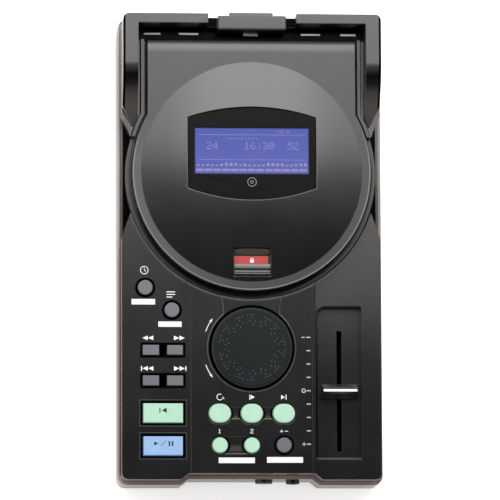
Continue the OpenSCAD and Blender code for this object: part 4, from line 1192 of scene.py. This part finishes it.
class PLAYER_OT_jog(bpy.types.Operator):
    """Jog wheel with clusters of raised grip dots round its rim"""
    bl_idname = "player.jog"
    bl_label = "Jog wheel"

    def execute(self, context):
        softened("jog_wheel", SMALL_ROUND, 4)
        finish_nodes("jog_encoder")
        radius_of_dot = context.scene.player_shape.dot
        squash = Matrix.Diagonal((1, 1, 0.5, 1))
        bm = bmesh.new()
        clusters = 14
        spread = 95.0  # degrees between two dots of a row, at a radius of 1 mm
        for cluster in range(clusters):
            centre = 360.0 * (cluster + 0.5) / clusters
            for row, (radius, sides) in enumerate(JOG_DOT_ROWS):
                lean = (row - 1.5) * 2.0 * (1 if cluster % 2 else -1)
                for side in sides:
                    angle = math.radians(centre + lean + side * spread / radius)
                    place = Matrix.Translation((
                        radius * math.cos(angle) * MM, (JOG_Y + radius * math.sin(angle)) * MM,
                        JOG_TOP * MM - radius_of_dot * 0.1))
                    bmesh.ops.create_icosphere(
                        bm, subdivisions=2, radius=radius_of_dot, matrix=place @ squash)
        dots = smoothed(mesh_from(bm, "jog_dots"))
        add_piece("jog_dots", dots, "jog_dot", "jog")
        return {"FINISHED"}


class PLAYER_OT_keys(bpy.types.Operator):
    """Fourteen keys with rounded caps, and the dark signs on the two large ones"""
    bl_idname = "player.keys"
    bl_label = "Keys"

    def execute(self, context):
        keys = [n for n in NODE if n.endswith("_key")]
        if len(keys) != 14:
            raise RuntimeError("fourteen keys were expected")
        for name in keys:
            softened(name, context.scene.player_shape.key_round, 4)
        x, y = middle("play_key").xy
        y += 1.2
        sign = arrow(x - 4.0, y, 2.5, 2.3)
        sign += stroke([(x - 1.4, y - 1.4), (x + 1.3, y + 1.5)], 0.28)
        sign += boxes((x + 3.5, y, 0.9, 2.9), (x + 5.3, y, 0.9, 2.9))
        add_marks("play_sign", sign, KEY_TOP, "dark_ink", "play_key")
        x, y = middle("cue_key").xy
        y += 1.4
        sign = boxes((x - 1.9, y, 0.6, 3.0)) + arrow(x + 0.5, y, 3.0, 3.0, -1)
        add_marks("cue_sign", sign, KEY_TOP, "dark_ink", "cue_key")
        return {"FINISHED"}


class PLAYER_OT_fader(bpy.types.Operator):
    """Tempo fader: cap with scooped flanks and its white line, lever and body"""
    bl_idname = "player.fader"
    bl_label = "Tempo fader"

    def execute(self, context):
        foot, head = low("fader_cap"), high("fader_cap")
        size = head - foot
        half, deep = size.x / 2, size.y / 2

        def flank(s, t):
            """Half depth of the cap at height t, hollow in the middle of its width."""
            straight = deep + (1.15 - deep) * t ** 0.8
            width = 1.5 * max(0.0, 1.0 - (s / 0.82) ** 2)
            hollow = width * math.sin(math.pi * min(1.0, t * 1.02)) ** 1.2
            return max(1.0 if t > 0.75 else 2.15, straight - hollow)

        levels = [i / 14 for i in range(15)]
        outline = [(-1, t) for t in levels] + [(1, t) for t in reversed(levels)]
        bm = bmesh.new()
        rings = []
        for s in (i / 12 - 1.0 for i in range(25)):
            rings.append([bm.verts.new(Vector((
                FADER_X + half * s, FADER_Y + way * flank(s, t), foot.z + size.z * t)) * MM)
                for way, t in outline])
        for a, b in zip(rings, rings[1:]):
            for i in range(len(a)):
                j = (i + 1) % len(a)
                bm.faces.new((a[i], a[j], b[j], b[i]))
        bm.faces.new(rings[0])
        bm.faces.new(rings[-1])
        cap = add_piece(
            "fader_cap_piece", smoothed(closed_mesh_from(bm, "fader_cap_shape")),
            SLOT_OF["fader_cap"], "fader", ("fader_cap",))
        add_rounding(cap, FINE_ROUND, 3, 35.0)
        add_shading(cap)
        line = round_box(FADER_X - 0.2, FADER_Y - 0.35, 19.4, 1.2, 0.2, 3)
        add_marks("fader_line", line, head.z - 0.02, "fader_line", "fader")
        finish_nodes("fader_lever")
        # The fader body takes painted shade, black as the slot it shows through.
        finish_nodes("fader_body", finish="slot_painted_shade")
        return {"FINISHED"}


class PLAYER_OT_marks(bpy.types.Operator):
    """White marks on the deck: blank label bars, transport signs, scale and arc"""
    bl_idname = "player.marks"
    bl_label = "Printed marks"

    def execute(self, context):
        enter, mode = middle("enter_key"), middle("mode_key")
        hot_1, hot_2, tempo = (middle(n) for n in (*HOT_KEYS, "tempo_key"))
        bars = boxes((enter.x - 1.1, enter.y - 8.2, 13.6, 3.2),
                     (mode.x - 1.1, mode.y - 8.2, 13.5, 3.1),
                     ((hot_1.x + hot_2.x) / 2 + 0.4, hot_1.y - 8.8, 20.9, 3.2),
                     (tempo.x + 0.5, tempo.y - 8.5, 20.8, 3.3))
        add_marks("label_bars", bars, DECK, "white_ink", "case")
        y = REAR_Y - 9.3
        rear = boxes((-57.2, y, 9.6, 1.0), (-36.0, y, 11.2, 1.0), (0.2, y, 8.6, 1.9),
                     (35.2, y, 11.2, 1.0), (57.0, y, 9.0, 1.2))
        add_marks("socket_bars", rear, DECK, "rear_ink", "case")
        signs = self.key_signs(enter, mode) + self.jog_arc()
        add_marks("deck_signs", signs, DECK, "white_ink", "case")
        add_marks("fader_scale", self.scale(), DECK, "scale_ink", "case")
        return {"FINISHED"}

    def key_signs(self, enter, mode):
        signs = []
        for key, ended in (("search", False), ("skip", True)):
            left, right = middle(key + "_back_key"), middle(key + "_forward_key")
            y = left.y + 7.1
            for x, way in ((left.x - 3.3, -1), (left.x - 0.1, -1), (right.x + 1.0, 1),
                           (right.x + 4.2, 1)):
                signs += arrow(x, y, 3.1, 2.7, way)
            if ended:
                signs += boxes((left.x - 5.4, y, 0.6, 2.8), (right.x + 6.3, y, 0.6, 2.8))
        # clock over the upper round key, short list over the lower one
        x, y = enter.x - 0.5, enter.y + 10.2
        signs += arc_mark(x, y, 2.2, 0, 360, 0.4, 32)
        signs += stroke([(x, y + 1.3), (x, y), (x + 0.9, y - 0.7)], 0.4)
        for i, w in enumerate((5.0, 5.0, 3.4)):
            signs += boxes((mode.x - 0.6 + (w - 5.0) / 2, mode.y + 10.6 - i * 1.5, w, 0.5))
        # round arrow, loop start and loop end over the oval keys
        loop, first, last = (middle(n) for n in OVAL_KEYS)
        y = loop.y + 9.3
        signs += arc_mark(loop.x, y, 1.7, 60, 370, 0.42, 26)
        signs += turned(arrow(loop.x + 1.7, y - 0.3, 1.5, 1.6), 105, loop.x + 1.7, y - 0.3)
        signs += boxes((first.x - 1.2, y, 0.5, 3.0)) + arrow(first.x + 0.5, y, 2.2, 2.6)
        signs += arrow(last.x - 0.5, y, 2.2, 2.6) + boxes((last.x + 1.3, y, 0.5, 3.0))
        # figures over the round keys, plus and minus over the grey one
        for text, key, shift in (("1", "hot_cue_1_key", -0.9), ("2", "hot_cue_2_key", -0.8),
                                 ("+", "tempo_key", -2.1), ("-", "tempo_key", 0.7)):
            spot = middle(key)
            signs += dot_digits(text, spot.x + shift, spot.y + 7.0, 0.36, 1.02)
        return signs

    def jog_arc(self):
        """Arc beside the jog wheel with an arrow head at each end."""
        signs = []
        for start, end, head, lean in ((147.0, 160.0, 145.0, 55.0), (200.0, 213.0, 215.0, -55.0)):
            signs += arc_mark(0, JOG_Y, JOG_ARC_R, start, end, 0.45, 16)
            x = JOG_ARC_R * math.cos(math.radians(head))
            y = JOG_Y + JOG_ARC_R * math.sin(math.radians(head))
            signs += turned(arrow(x, y, 2.4, 1.5), lean, x, y)
        return signs

    def scale(self):
        """Nine lines beside the fader, with minus, zero and plus at its ends and its middle."""
        reach = 31.0
        top, foot = FADER_Y + reach, FADER_Y - reach
        marks = boxes(*((32.9, top - i * reach / 4, 2.3, 0.6) for i in range(9)))
        marks += boxes((29.8, top, 1.9, 0.5)) + arc_mark(30.0, FADER_Y, 1.0, 0, 360, 0.55, 20)
        return marks + boxes((30.1, foot, 2.0, 0.5), (30.1, foot, 0.5, 2.0))


class PLAYER_OT_sockets(bpy.types.Operator):
    """Sockets, switch and level knob on the front and rear edges"""
    bl_idname = "player.sockets"
    bl_label = "Sockets"

    def execute(self, context):
        softened("phones_knob", FINE_ROUND, 3, finish="switch_black")
        finish_nodes("phones_jack", "phones_control", "power_inlet", "power_switch",
                     "power_slider", "line_sockets", "digital_socket", "remote_jack")
        return {"FINISHED"}


class PLAYER_OT_mechanism(bpy.types.Operator):
    """Disc well, hub, pickup, gears, motors and chassis"""
    bl_idname = "player.mechanism"
    bl_label = "Mechanism"

    def execute(self, context):
        softened("disc_well", SMALL_ROUND, 3, finish="well_satin")
        softened("spindle_hub", FINE_ROUND, 2)
        finish_nodes("mech_chassis", "chassis_dampers", "spindle_motor", "hub_balls",
                     "pickup_sled", "lens_holder", "pickup_lens", "guide_rods", "drive_gear",
                     "motor_pinion", "sled_motor")
        return {"FINISHED"}


class PLAYER_OT_boards(bpy.types.Operator):
    """Main board, key board and the switches on it"""
    bl_idname = "player.boards"
    bl_label = "Boards"

    def execute(self, context):
        finish_nodes("main_board", "key_board", "key_switches")
        return {"FINISHED"}


class PLAYER_OT_stage(bpy.types.Operator):
    """Pale floor, soft studio light and the camera"""
    bl_idname = "player.stage"
    bl_label = "Stage"

    def execute(self, context):
        scene = context.scene
        stage = scene.player_stage
        scene.view_settings.view_transform = "Standard"
        scene.view_settings.look = "None"
        self.floor()
        self.room(stage)
        self.softbox("overhead_rear", (0.0, 0.66, 1.0), (0.0, 0.54, 0.0), 1.2, 0.9, stage.overhead)
        for name, side, strength in (("strip_left", -1, 1.0), ("strip_right", 1, 0.6)):
            self.softbox(name, (side * 1.25, 0.05, 0.75), (0.0, 0.05, 0.0), 1.2, 0.22,
                         stage.side * strength)
        self.camera(stage)
        return {"FINISHED"}

    def place(self, name, data):
        made = bpy.data.objects.new(name, data)
        bpy.context.scene.collection.objects.link(made)
        return made

    def floor(self):
        reach = 6.0
        mesh = bpy.data.meshes.new("floor")
        corners = [(-reach, -reach, 0), (reach, -reach, 0), (reach, reach, 0), (-reach, reach, 0)]
        mesh.from_pydata(corners, [], [(0, 1, 2, 3)])
        mesh.materials.append(finished("floor"))
        self.place("floor", mesh)

    def room(self, stage):
        """Light walls under a dark ceiling, slightly warm."""
        world = bpy.data.worlds.new("studio")
        world.use_nodes = True
        tree = Tree(world.node_tree)
        way = tree.node("ShaderNodeTexCoord", out="Generated")
        height = tree.parts(way, "Z")
        wall = tuple(stage.horizon * c for c in (1.0, 0.95, 0.92))
        ceiling = tuple(stage.zenith * c for c in (1.0, 1.0, 1.02))
        background = world.node_tree.nodes["Background"]
        tree.feed(background.inputs["Color"], tree.mix(height.span(0.5, 0.86), wall, ceiling))
        background.inputs["Strength"].default_value = 1.0
        bpy.context.scene.world = world

    def softbox(self, name, place, aim, width, depth, radiance):
        light = bpy.data.lights.new(name, "AREA")
        light.shape = "RECTANGLE"
        light.size = width
        light.size_y = depth
        light.energy = radiance * math.pi * width * depth
        lamp = self.place(name, light)
        lamp.location = place
        lamp.rotation_euler = (Vector(aim) - Vector(place)).to_track_quat("-Z", "Y").to_euler()

    def camera(self, stage):
        camera = self.place("camera", bpy.data.cameras.new("camera"))
        aim = Vector((-0.7 * MM, -1.42 * MM, DECK * MM))
        back = Vector((-0.07, -0.13, 1.0)).normalized()
        level = back.cross(Vector((1.0, 0.0, 0.0))).normalized()
        side = (level.cross(back) + level * 0.0045).normalized()
        up = back.cross(side).normalized()
        columns = (side, up, back, aim + back * stage.distance)
        camera.matrix_world = Matrix((*zip(*columns), (0, 0, 0, 1)))
        film = 36.0
        camera.data.sensor_width = film
        camera.data.lens = film * stage.distance / stage.span
        camera.data.clip_start = 0.1
        camera.data.clip_end = 30.0
        bpy.context.scene.camera = camera


STEPS = (PLAYER_OT_casing, PLAYER_OT_rails, PLAYER_OT_lid, PLAYER_OT_display, PLAYER_OT_lock,
         PLAYER_OT_jog, PLAYER_OT_keys, PLAYER_OT_fader, PLAYER_OT_marks, PLAYER_OT_sockets,
         PLAYER_OT_mechanism, PLAYER_OT_boards, PLAYER_OT_stage)


class PLAYER_PT_panel(bpy.types.Panel):
    """Steps and settings of the disc player"""
    bl_idname = "PLAYER_PT_panel"
    bl_label = "Disc Player"
    bl_space_type = "VIEW_3D"
    bl_region_type = "UI"
    bl_category = "Disc Player"

    def draw(self, context):
        scene = context.scene
        for group in (scene.player_finish, scene.player_shape, scene.player_stage):
            column = self.layout.column(align=True)
            for name in group.__annotations__:
                column.prop(group, name)
        column = self.layout.column(align=True)
        for step in STEPS:
            column.operator(step.bl_idname)


CLASSES = (FinishSettings, ShapeSettings, StageSettings, *STEPS, PLAYER_PT_panel)


def register():
    for item in CLASSES:
        bpy.utils.register_class(item)
    bpy.types.Scene.player_finish = bpy.props.PointerProperty(type=FinishSettings)
    bpy.types.Scene.player_shape = bpy.props.PointerProperty(type=ShapeSettings)
    bpy.types.Scene.player_stage = bpy.props.PointerProperty(type=StageSettings)


def unregister():
    for name in ("player_finish", "player_shape", "player_stage"):
        delattr(bpy.types.Scene, name)
    for item in reversed(CLASSES):
        bpy.utils.unregister_class(item)


def main():
    register()
    for step in STEPS:
        group, name = step.bl_idname.split(".")
        if getattr(getattr(bpy.ops, group), name)() != {"FINISHED"}:
            raise RuntimeError(f"{step.bl_label} did not finish")


if __name__ == "__main__":
    main()
